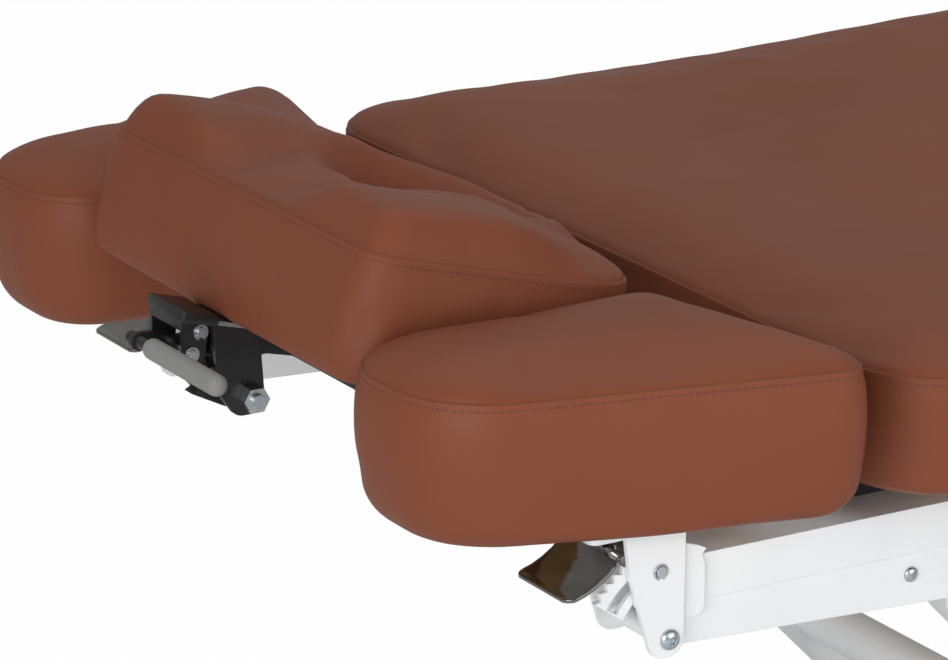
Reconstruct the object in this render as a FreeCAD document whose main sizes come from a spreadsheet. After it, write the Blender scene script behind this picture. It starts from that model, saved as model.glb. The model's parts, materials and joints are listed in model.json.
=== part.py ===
import FreeCAD, Part
import math
import os
from types import SimpleNamespace

import Sketcher
from FreeCAD import Placement, Rotation, Vector

# Electric massage table with a tilting headrest, two swinging armrests and a
# parallelogram lift. +X points to the foot end, +Y to the far side, +Z up.
# The origin is on the floor below the middle of the table.
# The top's own heights and lengths are measured from the armrest hinge line.

os.makedirs("parts", exist_ok=True)
doc = FreeCAD.newDocument("massage_table")

SIZES = {
    # lift
    "lift_arm_length": 620.0, "lift_rest_angle": 45.87, "base_pivot_at": 1334.5,
    "pivot_spacing": 600.0, "pivot_height": 95.0, "hinge_above_pivot": 48.0,
    "arm_face": 242.0, "arm_wide": 25.0, "arm_deep": 50.0, "tube_wall": 2.5,
    "shaft_radius": 10.0, "bush_radius": 13.0, "running_play": 0.05, "shaft_over": 4.0,
    "lug_thick": 12.0, "lug_face": 230.0, "lug_radius": 21.0, "tie_radius": 19.0,
    "rear_tie_at": 480.0, "front_tie_at": 300.0,
    "crank_length": 220.0, "crank_angle": 89.1, "crank_tube_at": 265.0,
    "crank_tube_radius": 17.0, "crank_plate_thick": 9.7, "crank_lug_thick": 10.0,
    "crank_lug_face": 16.0, "crank_arm_reach": 205.0, "crank_foot_radius": 18.0,
    "crank_rim": 7.0, "crank_tip_radius": 14.0, "crank_hole_at": 152.0,
    "crank_hole_radius": 36.0,
    # actuator
    "pin_radius": 6.0, "eye_half": 12.0, "eye_radius": 16.0, "eye_slot": 4.5,
    "eye_slot_out": 1.3,
    "rod_radius": 12.0, "rod_start": 152.0, "rod_play": 0.3,
    "outer_tube_radius": 20.0, "outer_tube_start": 60.0, "outer_tube_end": 204.0,
    "gearbox_start": 17.0, "gearbox_half": 32.0, "gearbox_low": 26.0,
    "gearbox_high": 82.0, "motor_radius": 26.0, "motor_length": 105.0,
    "motor_offset": 54.0, "tail_radius": 14.0, "tail_half": 10.0,
    "clevis_gap": 14.0, "clevis_thick": 8.0,
    # base
    "base_head_over": 505.25, "base_foot_over": 134.75, "base_low": 35.0,
    "base_tube_high": 40.0,
    "base_tube_wide": 50.0, "base_rail_inner": 190.0, "base_half": 300.0,
    "foot_y": 272.0, "foot_radius": 25.0, "foot_high": 15.0, "stem_radius": 5.0,
    "stem_nut_radius": 9.0, "stem_nut_high": 7.0,
    "box_length": 240.0, "box_half": 120.0, "box_low": 40.0, "box_high": 70.0,
    "inlet_wide": 30.0, "inlet_high": 22.0, "inlet_deep": 18.0, "inlet_rim": 3.0,
    "switch_start": 660.0, "switch_length": 160.0, "switch_outer": 330.0,
    "switch_low": 20.0, "switch_high": 36.0, "pedal_thick": 7.0, "pedal_reach": 48.0,
    "pedal_pin_radius": 3.0, "pedal_gap": 8.0, "cheek_thick": 5.0, "cheek_half": 6.0,
    "pedal_pin_out": 44.0, "pedal_play": 0.5,
    # top frame
    "rail_outer": 335.0, "rail_wide": 40.0, "rail_start": 6.5, "rail_end": 1640.0,
    "rail_top": 51.0, "rail_fold": 32.0, "rail_head_depth": 60.0, "rail_depth": 80.0,
    "rail_taper_end": 450.0, "rail_taper_blend": 200.0, "rail_step": 1.2,
    "cap_thick": 3.0,
    "board_low": 72.0, "board_thick": 12.0, "board_inset": 60.0, "cross_high": 50.0,
    "cross_gap": 0.3, "end_tube_x": 1589.0, "head_member_x": 137.0,
    "head_member_wide": 80.0, "flange_length": 93.0, "flange_thick": 4.0,
    "flange_drop": 78.0, "screw_x": 199.0, "screw_z": 4.0, "screw_radius": 3.0,
    "screw_head_radius": 5.2, "screw_head_high": 3.0,
    # cushions
    "main_start": 145.0, "main_length": 1601.0, "main_half": 400.0,
    "main_seam": 160.0, "main_crown": 12.0, "main_corner": 75.0,
    "low_round": 7.0,
    "armrest_head": -176.0, "armrest_inner": 198.0, "armrest_outer_head": 340.0,
    "armrest_outer_foot": 412.0, "armrest_foot_inner": 78.0, "armrest_foot_outer": 128.0,
    "armrest_seam": 184.0, "armrest_low": 80.0, "armrest_crown": 8.0,
    "armrest_head_corner": 60.0, "armrest_slant_corner": 40.0, "armrest_tip_corner": 20.0,
    "armrest_side_corner": 75.0, "least_corner": 5.0,
    "armrest_board_thick": 13.0, "armrest_board_inset": 32.0,
    "head_tilt": 15.0, "head_edge_x": -135.0, "head_edge_z": 243.0,
    "head_half": 195.0, "head_side": 225.0, "head_tip": 252.0, "head_tip_half": 70.0,
    "head_corner": 30.0, "head_shoulder": 70.0, "head_tip_round": 140.0,
    "head_thick": 90.0, "head_crown": 9.0, "head_board_inset": 32.0,
    "head_board_thick": 10.0, "soft_play": 0.3,
    "hole_start": 105.0, "hole_length": 110.0, "hole_half": 62.0, "hole_corner": 50.0,
    # headrest mechanism
    "tilt_pivot_x": -134.0, "tilt_pivot_z": 97.0, "tilt_bolt_radius": 5.0,
    "tilt_plate_inner": 20.0, "tilt_plate_thick": 4.0, "nut_flats": 17.0,
    "nut_high": 9.0, "bolt_over": 3.0, "base_plate_thick": 3.0,
    "base_plate_out": 28.0, "base_plate_half": 26.0, "base_plate_wing": 60.0,
    "base_plate_long": 126.0, "wing_start": 55.0,
    "bracket_inner": 20.5, "bracket_thick": 3.0, "mech_pin_radius": 3.5,
    "upper_pin_x": -172.0, "upper_pin_z": 150.0, "lower_pin_x": -179.0,
    "lower_pin_z": 135.0, "clip_thick": 1.0, "clip_rim": 2.0, "pin_over": 3.0,
    "handle_x": -200.0, "handle_z": 138.0, "handle_radius": 4.5, "grip_radius": 7.5,
    "grip_near": 106.0, "grip_far": 1.0, "handle_far": 25.0,
    "lever_side_near": 12.5, "lever_side_thick": 5.0, "pawl_half": 5.0,
    "lever_hub_radius": 7.0, "quadrant_radius": 36.0, "tooth_depth": 4.0,
    "quadrant_first": 105.0, "quadrant_step": 10.0, "quadrant_half": 5.9,
    "quadrant_teeth": 8.0,
    "pawl_angle": 125.0, "pawl_gap": 0.4,
    "spine_inner": 6.0, "spine_thick": 5.0, "boss_radius": 12.0, "spine_end": -66.0,
    "crossbar_wide": 18.0, "fork_inner": 72.0, "fork_thick": 12.0, "arm_below": 5.0,
    "spine_deep": 16.0, "spine_shoulder": 34.0,
    # armrest hinge, lock sector and paddle
    "hinge_bolt_radius": 4.0, "bolt_end": 7.0, "barrel_radius": 7.0, "barrel_inner": 283.4,
    "plate_thick": 4.0, "inner_plate": 279.0, "outer_plate": 339.6, "plate_top": 75.0,
    "plate_head": 34.0, "plate_waist": 31.0, "plate_waist_high": 49.0, "plate_blend": 30.0,
    "mount_plate_thick": 5.0, "mount_inner": 267.0, "mount_head": 60.0,
    "mount_foot": 40.0, "mount_corner": 6.0, "lock_pin_radius": 4.0, "lock_pin_at": 48.7,
    "lock_pin_angle": 98.7, "armrest_swing": 45.0, "slot_half": 4.5,
    "sector_thick": 4.2, "sector_radius": 64.0, "sector_tooth": 4.0,
    "sector_step": 7.0, "sector_first": 100.0, "sector_teeth": 7.0,
    "sector_inner": 38.0, "paddle_inner": 272.0,
    "paddle_wide": 66.0, "neck_inner": 288.0, "neck_wide": 40.0,
    "paddle_tip": 75.0, "paddle_root": 37.0, "paddle_low": 36.5, "paddle_high": 55.5,
    "paddle_sheet": 3.0,
    "paddle_hub_radius": 9.0, "paddle_pawl_radius": 3.0, "paddle_pawl_angle": 118.0,
}

sheet = doc.addObject("Spreadsheet::Sheet", "Sizes")
for row, (alias, number) in enumerate(SIZES.items(), start=1):
    sheet.set("A%d" % row, alias)
    sheet.set("B%d" % row, str(number))
    sheet.setAlias("B%d" % row, alias)
doc.recompute()
v = SimpleNamespace(**{alias: float(sheet.get(alias)) for alias in SIZES})

rad = math.radians
lean = rad(v.lift_rest_angle)
reach = v.lift_arm_length * math.cos(lean)
rise = v.lift_arm_length * math.sin(lean)
upper_pivot_z = v.pivot_height + rise
HX = (v.grip_radius - v.handle_x - v.main_start - v.main_length) / 2
HZ = upper_pivot_z + v.hinge_above_pivot
BASE_X = HX + v.base_pivot_at
LOWER = {"rear": BASE_X, "front": BASE_X - v.pivot_spacing}
UPPER = {which: x - reach for which, x in LOWER.items()}
BASE_HEAD = LOWER["front"] - v.base_head_over
BASE_FOOT = LOWER["rear"] + v.base_foot_over
Y_AXIS = Vector(0, 1, 0)
nodes = []


def at(points):
    """Side-view points measured from the hinge line, moved into the table's frame."""
    return [(HX + x, HZ + z) for x, z in points]


def polar(x, z, radius, degrees):
    """Side-view point at an angle about a centre."""
    return (x + radius * math.cos(rad(degrees)), z + radius * math.sin(rad(degrees)))


def node(obj, label):
    """Name an object and list it as one piece of the table."""
    obj.Label = label
    nodes.append(obj)
    return obj


def bind(obj, **sizes):
    """Tie properties to cells of the sheet."""
    for prop, text in sizes.items():
        obj.setExpression(prop, text)
    return obj


def rounded(points, radii):
    """Closed outline of lines and tangent arcs round its corners."""
    pts = [Vector(p[0], p[1], 0) for p in points]
    spans = []
    edges = []
    for i, corner in enumerate(pts):
        back = (pts[i - 1] - corner).normalize()
        ahead = (pts[(i + 1) % len(pts)] - corner).normalize()
        if radii[i] < 0.01:
            spans.append((corner, corner))
            continue
        half = back.getAngle(ahead) / 2
        run = radii[i] / math.tan(half)
        middle = corner + (back + ahead).normalize() * (radii[i] / math.sin(half) - radii[i])
        spans.append((corner + back * run, corner + ahead * run))
        edges.append(Part.Arc(spans[i][0], middle, spans[i][1]))
    for i, span in enumerate(spans):
        following = spans[(i + 1) % len(spans)][0]
        if (following - span[1]).dot(pts[(i + 1) % len(pts)] - pts[i]) < -1e-6:
            raise ValueError("corner radii overlap near %s" % str(span[1]))
        if span[1].distanceToPoint(following) > 1e-4:
            edges.append(Part.LineSegment(span[1], following))
    return edges


def belt(circles):
    """Outline stretched round circles (x, z, radius), given counter-clockwise."""
    turns = []
    for i, (x, z, r) in enumerate(circles):
        nx, nz, nr = circles[(i + 1) % len(circles)]
        heading = math.atan2(nz - z, nx - x)
        turns.append(heading - math.acos((r - nr) / math.hypot(nx - x, nz - z)))
    edges = []
    for i, (x, z, r) in enumerate(circles):
        first = turns[i - 1]
        swing = (turns[i] - first) % (2 * math.pi)
        rim = [Vector(x + r * math.cos(first + swing * share),
                      z + r * math.sin(first + swing * share), 0) for share in (0, 0.5, 1)]
        nx, nz, nr = circles[(i + 1) % len(circles)]
        goal = Vector(nx + nr * math.cos(turns[i]), nz + nr * math.sin(turns[i]), 0)
        edges.append(Part.Arc(*rim))
        edges.append(Part.LineSegment(rim[2], goal))
    return edges


def plate(name, edges, holes, thick, middle, plane="XZ_Plane"):
    """Sketched outline padded evenly about a middle plane; holes are (x, z, size)."""
    body = doc.addObject("PartDesign::Body", name)
    sketch = body.newObject("Sketcher::SketchObject", name + "_outline")
    origin = [f for f in body.Origin.OriginFeatures if f.Role == plane][0]
    sketch.AttachmentSupport = [(origin, "")]
    sketch.MapMode = "FlatFace"
    for edge in edges:
        sketch.addGeometry(edge, False)
    for k, (x, z, text, radius) in enumerate(holes):
        circle = sketch.addGeometry(Part.Circle(Vector(x, z, 0), Vector(0, 0, 1), radius), False)
        rule = sketch.addConstraint(Sketcher.Constraint("Radius", circle, radius))
        sketch.renameConstraint(rule, "bore%d" % k)
        sketch.setExpression("Constraints.bore%d" % k, text)
    pad = body.newObject("PartDesign::Pad", name + "_pad")
    pad.Profile = sketch
    pad.SideType = "Symmetric"
    pad.setExpression("Length", thick)
    doc.recompute()
    normal = {"XZ_Plane": Y_AXIS, "XY_Plane": Vector(0, 0, 1), "YZ_Plane": Vector(1, 0, 0)}
    body.Placement.Base = normal[plane] * middle
    return body


def turned(name, edges, x, y, z, plane="XY_Plane"):
    """Lathe piece: a half profile of radius and length, turned about its length."""
    body = doc.addObject("PartDesign::Body", name)
    sketch = body.newObject("Sketcher::SketchObject", name + "_profile")
    origin = [f for f in body.Origin.OriginFeatures if f.Role == plane][0]
    sketch.AttachmentSupport = [(origin, "")]
    sketch.MapMode = "FlatFace"
    for edge in edges:
        sketch.addGeometry(edge, False)
    turn = body.newObject("PartDesign::Revolution", name + "_turn")
    turn.Profile = sketch
    turn.ReferenceAxis = (sketch, ["V_Axis"])
    turn.Angle = 360
    doc.recompute()
    body.Placement.Base = Vector(x, y, z)
    return body


def block(name, corner, **sizes):
    """Box from its low corner, with sizes from the sheet."""
    item = bind(doc.addObject("Part::Box", name), **sizes)
    item.Placement.Base = Vector(*corner)
    return item


def rod(name, radius, length, start, way):
    """Round bar from a start point along a direction."""
    item = bind(doc.addObject("Part::Cylinder", name), Radius=radius, Height=length)
    item.Placement = Placement(Vector(*start), Rotation(Vector(0, 0, 1), Vector(*way)))
    return item


def across(name, radius, half, x, z, half_value):
    """Round bar along Y, even about the middle of the table."""
    return rod(name, radius, "2 * (%s)" % half, (x, -half_value, z), (0, 1, 0))


def less(name, base, *tools):
    """One solid cut by others."""
    tool = tools[0] if len(tools) == 1 else joined(name + "_cutters", *tools)
    item = doc.addObject("Part::Cut", name)
    item.Base = base
    item.Tool = tool
    return item


def joined(name, *items):
    """Welded or moulded together."""
    item = doc.addObject("Part::MultiFuse", name)
    item.Shapes = list(items)
    return item


def group(name, *items):
    """Separate solids that share one node."""
    item = doc.addObject("Part::Compound", name)
    item.Links = list(items)
    return node(item, name)


def box_tube(name, corner, wall_along, **sizes):
    """Rectangular tube, open at both ends along X or Y."""
    outer = block(name + "_outer", corner, **sizes)
    wall = v.tube_wall
    shift = [0 if wall_along == k else wall for k in (0, 1, 2)]
    inner_sizes = {}
    for k, prop in enumerate(("Length", "Width", "Height")):
        keep = sizes[prop]
        inner_sizes[prop] = keep if k == wall_along else "%s - 2 * Sizes.tube_wall" % keep
    start = [corner[k] + shift[k] for k in (0, 1, 2)]
    inner = block(name + "_bore", start, **inner_sizes)
    return less(name, outer, inner)


def sides():
    """The near side, then the far side."""
    return ((-1, "near"), (1, "far"))


# Cushions


def flat_face(edges):
    """Flat face in plan from outline edges."""
    return Part.Face(Part.Wire(Part.__sortEdges__([edge.toShape() for edge in edges])))


def slab(edges, low, high):
    """Plan outline raised between two heights."""
    face = flat_face(edges)
    face.translate(Vector(0, 0, low))
    return face.extrude(Vector(0, 0, high - low))


def edges_at(shape, height):
    """Edges that lie flat at one height."""
    boxes = [(edge, edge.BoundBox) for edge in shape.Edges]
    return [e for e, b in boxes if abs(b.ZMin - height) < 0.01 and abs(b.ZMax - height) < 0.01]


def pad_shape(edges, low, seam, crown):
    """Upholstered pad: crowned above its seam and rounded at its foot."""
    shape = slab(edges, low, seam + crown)
    shape = shape.makeFillet(crown, edges_at(shape, seam + crown))
    return shape.makeFillet(v.low_round, edges_at(shape, low))


def computed(label, shape, placement=None):
    """Soft or board piece whose outline has no simple feature."""
    item = doc.addObject("Part::Feature", label)
    item.Shape = shape
    if placement is not None:
        item.Placement = placement
    return node(item, label)


def main_plan(inset):
    """Plan of the main cushion, less a margin all round."""
    x0 = HX + v.main_start + inset
    x1 = HX + v.main_start + v.main_length - inset
    y = v.main_half - inset
    corner = max(v.main_corner - inset, v.least_corner)
    return rounded([(x0, -y), (x1, -y), (x1, y), (x0, y)], [corner] * 4)


def board_room(plan, inset, low, thick):
    """Room for a board in the underside of a pad, a little larger all round."""
    return slab(plan(inset - v.soft_play), low - 1, low + thick + v.soft_play)


def make_main_cushion():
    low = HZ + v.board_low
    pad = pad_shape(main_plan(0), low, HZ + v.main_seam, v.main_crown)
    computed("main_cushion", pad.cut(board_room(main_plan, v.board_inset, low, v.board_thick)))
    board = plate("main_board", main_plan(v.board_inset), (), "Sizes.board_thick",
                  low + v.board_thick / 2, "XY_Plane")
    node(board, "main_board")


def armrest_plan(inset, side):
    """Plan of an armrest: wide at the foot, cut slanting there."""
    head = HX + v.armrest_head + inset
    inner = side * (v.armrest_inner + inset)
    points = [(head, inner), (HX + v.armrest_foot_inner - inset, inner),
              (HX + v.armrest_foot_outer - inset * 1.2, side * (v.armrest_outer_foot - inset)),
              (head, side * (v.armrest_outer_head - inset))]
    corners = (v.armrest_head_corner, v.armrest_slant_corner, v.armrest_tip_corner,
               v.armrest_side_corner)
    return rounded(points, [max(r - inset, v.least_corner) for r in corners])


def make_armrest_pads():
    for side, name in sides():
        low = HZ + v.armrest_low
        thick = v.armrest_board_thick
        pad = pad_shape(armrest_plan(0, side), low, HZ + v.armrest_seam, v.armrest_crown)
        room = board_room(lambda inset: armrest_plan(inset, side), v.armrest_board_inset,
                          low, thick)
        computed(name + "_armrest_cushion", pad.cut(room))
        board = plate(name + "_armrest_board", armrest_plan(v.armrest_board_inset, side), (),
                      "Sizes.armrest_board_thick", low + thick / 2, "XY_Plane")
        node(board, name + "_armrest_board")


HEAD_FRAME = Placement(Vector(HX + v.head_edge_x, 0, HZ + v.head_edge_z),
                       Rotation(Y_AXIS, v.head_tilt))


def head_plan(inset):
    """Plan of the headrest in its own plane."""
    y = v.head_half - inset
    side = v.head_side - inset
    tip = v.head_tip - inset
    half = v.head_tip_half
    points = [(inset, -y), (side, -y), (tip, -half), (tip, half), (side, y), (inset, y)]
    corner = max(v.head_corner - inset, v.least_corner)
    shoulder = v.head_shoulder - inset
    return rounded(points, [corner, shoulder, v.head_tip_round, v.head_tip_round, shoulder,
                            corner])


def hole_plan(margin):
    """Oval face hole in the headrest's plane."""
    u0 = v.hole_start - margin
    u1 = v.hole_start + v.hole_length + margin
    y = v.hole_half + margin
    return rounded([(u0, -y), (u1, -y), (u1, y), (u0, y)], [v.hole_corner + margin] * 4)


def make_headrest_pad():
    low = -v.head_thick
    top = low + v.head_board_thick
    cushion = pad_shape(head_plan(0), low, 0.0, v.head_crown)
    cushion = cushion.cut(slab(hole_plan(0), low - 5, v.head_crown + 5))
    recess = v.head_board_inset - v.soft_play
    room = slab(head_plan(recess), low - 1, top + v.soft_play)
    keep = slab(hole_plan(v.head_board_inset / 4), low - 2, top + 2)
    computed("headrest_cushion", cushion.cut(room.cut(keep)), HEAD_FRAME)
    board = slab(head_plan(v.head_board_inset), low, top)
    board = board.cut(slab(hole_plan(v.head_board_inset / 4 + v.soft_play), low - 1, top + 1))
    computed("headrest_board", board, HEAD_FRAME)


# Base


def make_base_rails():
    high = v.base_low + v.base_tube_high
    x0 = BASE_HEAD + v.base_tube_wide
    bore = v.shaft_radius + v.running_play
    for side, name in sides():
        label = "base_rail_" + name
        y0 = v.base_rail_inner if side > 0 else -v.base_rail_inner - v.base_tube_wide
        pieces = [box_tube(label + "_tube", (x0, y0, v.base_low), 0,
                           Length="Sizes.base_head_over + Sizes.pivot_spacing"
                                  " + Sizes.base_foot_over - 2 * Sizes.base_tube_wide",
                           Width="Sizes.base_tube_wide", Height="Sizes.base_tube_high")]
        middle = side * (v.lug_face - v.lug_thick / 2)
        for which, x in LOWER.items():
            r = v.lug_radius
            outline = rounded([(x - r, high), (x + r, high), (x + r, v.pivot_height + r),
                               (x - r, v.pivot_height + r)], [0, 0, r - 0.2, r - 0.2])
            hole = (x, v.pivot_height, "Sizes.shaft_radius + Sizes.running_play", bore)
            pieces.append(plate(label + "_lug_" + which, outline, [hole],
                                "Sizes.lug_thick", middle))
        node(joined(label, *pieces), label)


def make_base_cross():
    tubes = []
    for k, x in enumerate((BASE_HEAD, BASE_FOOT - v.base_tube_wide)):
        tubes.append(box_tube("base_cross_%d" % k, (x, -v.base_half, v.base_low), 1,
                              Length="Sizes.base_tube_wide", Width="2 * Sizes.base_half",
                              Height="Sizes.base_tube_high"))
    group("base_cross_tubes", *tubes)


def make_feet():
    half = v.base_tube_wide / 2
    pads = []
    stems = []
    for x in (BASE_HEAD + half, BASE_FOOT - half):
        for side, name in sides():
            tag = "%s_%d" % (name, x > 0)
            y = side * v.foot_y
            pads.append(rod("pad_" + tag, "Sizes.foot_radius", "Sizes.foot_high", (x, y, 0),
                            (0, 0, 1)))
            stem = rod("stem_" + tag, "Sizes.stem_radius", "Sizes.base_low - Sizes.foot_high",
                       (x, y, v.foot_high), (0, 0, 1))
            nut = rod("stem_nut_" + tag, "Sizes.stem_nut_radius", "Sizes.stem_nut_high",
                      (x, y, v.base_low - v.stem_nut_high), (0, 0, 1))
            stems.append(joined("stem_set_" + tag, stem, nut))
    group("foot_pads", *pads)
    group("foot_stems", *stems)


def make_shafts():
    half = "Sizes.arm_face + Sizes.arm_wide + Sizes.shaft_over"
    value = v.arm_face + v.arm_wide + v.shaft_over
    for label, places, z in (("lower_shafts", LOWER, v.pivot_height),
                             ("upper_shafts", UPPER, upper_pivot_z)):
        group(label, *[across(label + "_" + which, "Sizes.shaft_radius", half, x, z, value)
                       for which, x in places.items()])


ACTUATOR_X = BASE_X - v.crank_length
CHORD = v.crank_angle / 2
CHORD_LENGTH = 2 * v.crank_length * math.sin(rad((180 - v.crank_angle) / 2))
CRANK_PIN = polar(BASE_X, v.pivot_height, v.crank_length, v.crank_angle)
CRANK_TUBE = polar(BASE_X, v.pivot_height, v.crank_tube_at, v.crank_angle)
ACTUATOR_FRAME = Placement(Vector(ACTUATOR_X, 0, v.pivot_height), Rotation(Y_AXIS, -CHORD))


def make_actuator_mount():
    high = v.base_low + v.base_tube_high
    half = v.base_tube_wide / 2
    tube = box_tube("actuator_bar", (ACTUATOR_X - half, -v.base_rail_inner, v.base_low), 1,
                    Length="Sizes.base_tube_wide", Width="2 * Sizes.base_rail_inner",
                    Height="Sizes.base_tube_high")
    ears = []
    r = v.tail_radius
    bore = v.pin_radius + v.running_play
    outline = rounded([(ACTUATOR_X - r, high), (ACTUATOR_X + r, high),
                       (ACTUATOR_X + r, v.pivot_height + r),
                       (ACTUATOR_X - r, v.pivot_height + r)], [0, 0, r - 0.2, r - 0.2])
    for side, name in sides():
        hole = (ACTUATOR_X, v.pivot_height, "Sizes.pin_radius + Sizes.running_play", bore)
        ears.append(plate("actuator_ear_" + name, outline, [hole], "Sizes.clevis_thick",
                          side * (v.clevis_gap + v.clevis_thick / 2)))
    node(joined("actuator_cross_tube", tube, *ears), "actuator_cross_tube")
    value = v.clevis_gap + v.clevis_thick + v.shaft_over
    pin = across("actuator_base_pin", "Sizes.pin_radius",
                 "Sizes.clevis_gap + Sizes.clevis_thick + Sizes.shaft_over",
                 ACTUATOR_X, v.pivot_height, value)
    node(pin, "actuator_base_pin")


def make_controls():
    x0 = BASE_HEAD + v.base_tube_wide
    case = block("control_case", (x0, -v.box_half, v.box_low), Length="Sizes.box_length",
                 Width="2 * Sizes.box_half", Height="Sizes.box_high")
    x1 = x0 + v.box_length - v.inlet_deep
    z0 = v.box_low + (v.box_high - v.inlet_high) / 2
    y0 = v.box_half / 2
    room = block("inlet_room", (x1, y0, z0), Length="Sizes.inlet_deep",
                 Width="Sizes.inlet_wide", Height="Sizes.inlet_high")
    node(less("control_box", case, room), "control_box")
    body = block("inlet_body", (x1, y0, z0), Length="Sizes.inlet_deep",
                 Width="Sizes.inlet_wide", Height="Sizes.inlet_high")
    rim = v.inlet_rim
    mouth = block("inlet_mouth", (x1 + rim, y0 + rim, z0 + rim), Length="Sizes.inlet_deep",
                  Width="Sizes.inlet_wide - 2 * Sizes.inlet_rim",
                  Height="Sizes.inlet_high - 2 * Sizes.inlet_rim")
    blades = [rod("inlet_blade_%d" % k, "Sizes.inlet_rim / 2",
                  "Sizes.inlet_deep - 2 * Sizes.inlet_rim",
                  (x1 + rim, y0 + v.inlet_wide * (k + 1) / 4, z0 + v.inlet_high / 2), (1, 0, 0))
              for k in range(3)]
    node(joined("mains_inlet", less("inlet_shell", body, mouth), *blades), "mains_inlet")


PEDAL_PIN_Y = -(v.base_rail_inner + v.base_tube_wide + v.pedal_pin_out)
PEDAL_PIN_Z = v.switch_low + v.switch_high + v.pedal_gap


def make_foot_switch():
    rail_face = v.base_rail_inner + v.base_tube_wide
    x0 = BASE_HEAD + v.switch_start
    case = block("switch_case", (x0, -v.switch_outer, v.switch_low),
                 Length="Sizes.switch_length", Height="Sizes.switch_high",
                 Width="Sizes.switch_outer - Sizes.base_rail_inner - Sizes.base_tube_wide")
    top = v.switch_low + v.switch_high
    r = v.cheek_half
    outline = rounded([(PEDAL_PIN_Y - r, top), (PEDAL_PIN_Y + r, top),
                       (PEDAL_PIN_Y + r, PEDAL_PIN_Z + r), (PEDAL_PIN_Y - r, PEDAL_PIN_Z + r)],
                      [0, 0, r - 0.2, r - 0.2])
    pitch = (v.switch_length - v.cheek_thick) / 2
    hole = (PEDAL_PIN_Y, PEDAL_PIN_Z, "Sizes.pedal_pin_radius + Sizes.running_play",
            v.pedal_pin_radius + v.running_play)
    cheeks = [plate("switch_cheek_%d" % k, outline, [hole], "Sizes.cheek_thick",
                    x0 + v.cheek_thick / 2 + k * pitch, "YZ_Plane") for k in range(3)]
    node(joined("foot_switch_housing", case, *cheeks), "foot_switch_housing")
    half = v.pedal_thick / 2
    tread = rounded([(PEDAL_PIN_Y - v.pedal_reach, PEDAL_PIN_Z - half),
                     (PEDAL_PIN_Y + half, PEDAL_PIN_Z - half),
                     (PEDAL_PIN_Y + half, PEDAL_PIN_Z + half),
                     (PEDAL_PIN_Y - v.pedal_reach, PEDAL_PIN_Z + half)],
                    [half - 0.2] * 4)
    for k, label in enumerate(("pedal_up", "pedal_down")):
        middle = x0 + v.cheek_thick / 2 + (k + 0.5) * pitch
        board = plate(label + "_tread", tread, (),
                      "(Sizes.switch_length - Sizes.cheek_thick) / 2 - Sizes.cheek_thick"
                      " - 2 * Sizes.pedal_play",
                      middle, "YZ_Plane")
        width = pitch - v.cheek_thick + 4
        pin = rod(label + "_pin", "Sizes.pedal_pin_radius",
                  "(Sizes.switch_length - Sizes.cheek_thick) / 2 - Sizes.cheek_thick + 4",
                  (middle - width / 2, PEDAL_PIN_Y, PEDAL_PIN_Z), (1, 0, 0))
        node(joined(label, board, pin), label)


# Lift


def arm_frame(which):
    """Frame that runs from a lower pivot along the leaning arm."""
    return Placement(Vector(LOWER[which], 0, v.pivot_height),
                     Rotation(Y_AXIS, 180 + v.lift_rest_angle))


def make_lift_arms(which):
    r = v.arm_deep / 2
    length = v.lift_arm_length
    seat = "Sizes.bush_radius"
    outline = rounded([(-r, -r), (length + r, -r), (length + r, r), (-r, r)], [r - 0.1] * 4)
    holes = [(0, 0, seat, v.bush_radius), (length, 0, seat, v.bush_radius)]
    arms = []
    bushes = []
    for side, name in sides():
        tag = which + "_" + name
        middle = side * (v.arm_face + v.arm_wide / 2)
        solid = plate("arm_" + tag, outline, holes, "Sizes.arm_wide", middle)
        hollow = block("arm_room_" + tag,
                       (r * 1.5, middle - v.arm_wide / 2 + v.tube_wall, -r + v.tube_wall),
                       Length="Sizes.lift_arm_length - 1.5 * Sizes.arm_deep",
                       Width="Sizes.arm_wide - 2 * Sizes.tube_wall",
                       Height="Sizes.arm_deep - 2 * Sizes.tube_wall")
        arm = less("lift_arm_" + tag, solid, hollow)
        arm.Placement = arm_frame(which)
        arms.append(arm)
        for k, x in enumerate((0, length)):
            y0 = middle - v.arm_wide / 2
            sleeve = rod("bush_%s_%d" % (tag, k), "Sizes.bush_radius", "Sizes.arm_wide",
                         (x, y0, 0), (0, 1, 0))
            bore = rod("bush_bore_%s_%d" % (tag, k), "Sizes.shaft_radius + Sizes.running_play",
                       "Sizes.arm_wide", (x, y0, 0), (0, 1, 0))
            bush = less("bush_ring_%s_%d" % (tag, k), sleeve, bore)
            bush.Placement = arm_frame(which)
            bushes.append(bush)
    group(which + "_lift_arms", *arms)
    group(which + "_arm_bushes", *bushes)
    x = v.rear_tie_at if which == "rear" else v.front_tie_at
    outer = across("tie_outer_" + which, "Sizes.tie_radius", "Sizes.arm_face", x, 0, v.arm_face)
    inner = across("tie_bore_" + which, "Sizes.tie_radius - Sizes.tube_wall",
                   "Sizes.arm_face", x, 0, v.arm_face)
    tie = less(which + "_tie", outer, inner)
    tie.Placement = arm_frame(which)
    node(tie, which + "_tie_tube")


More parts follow.
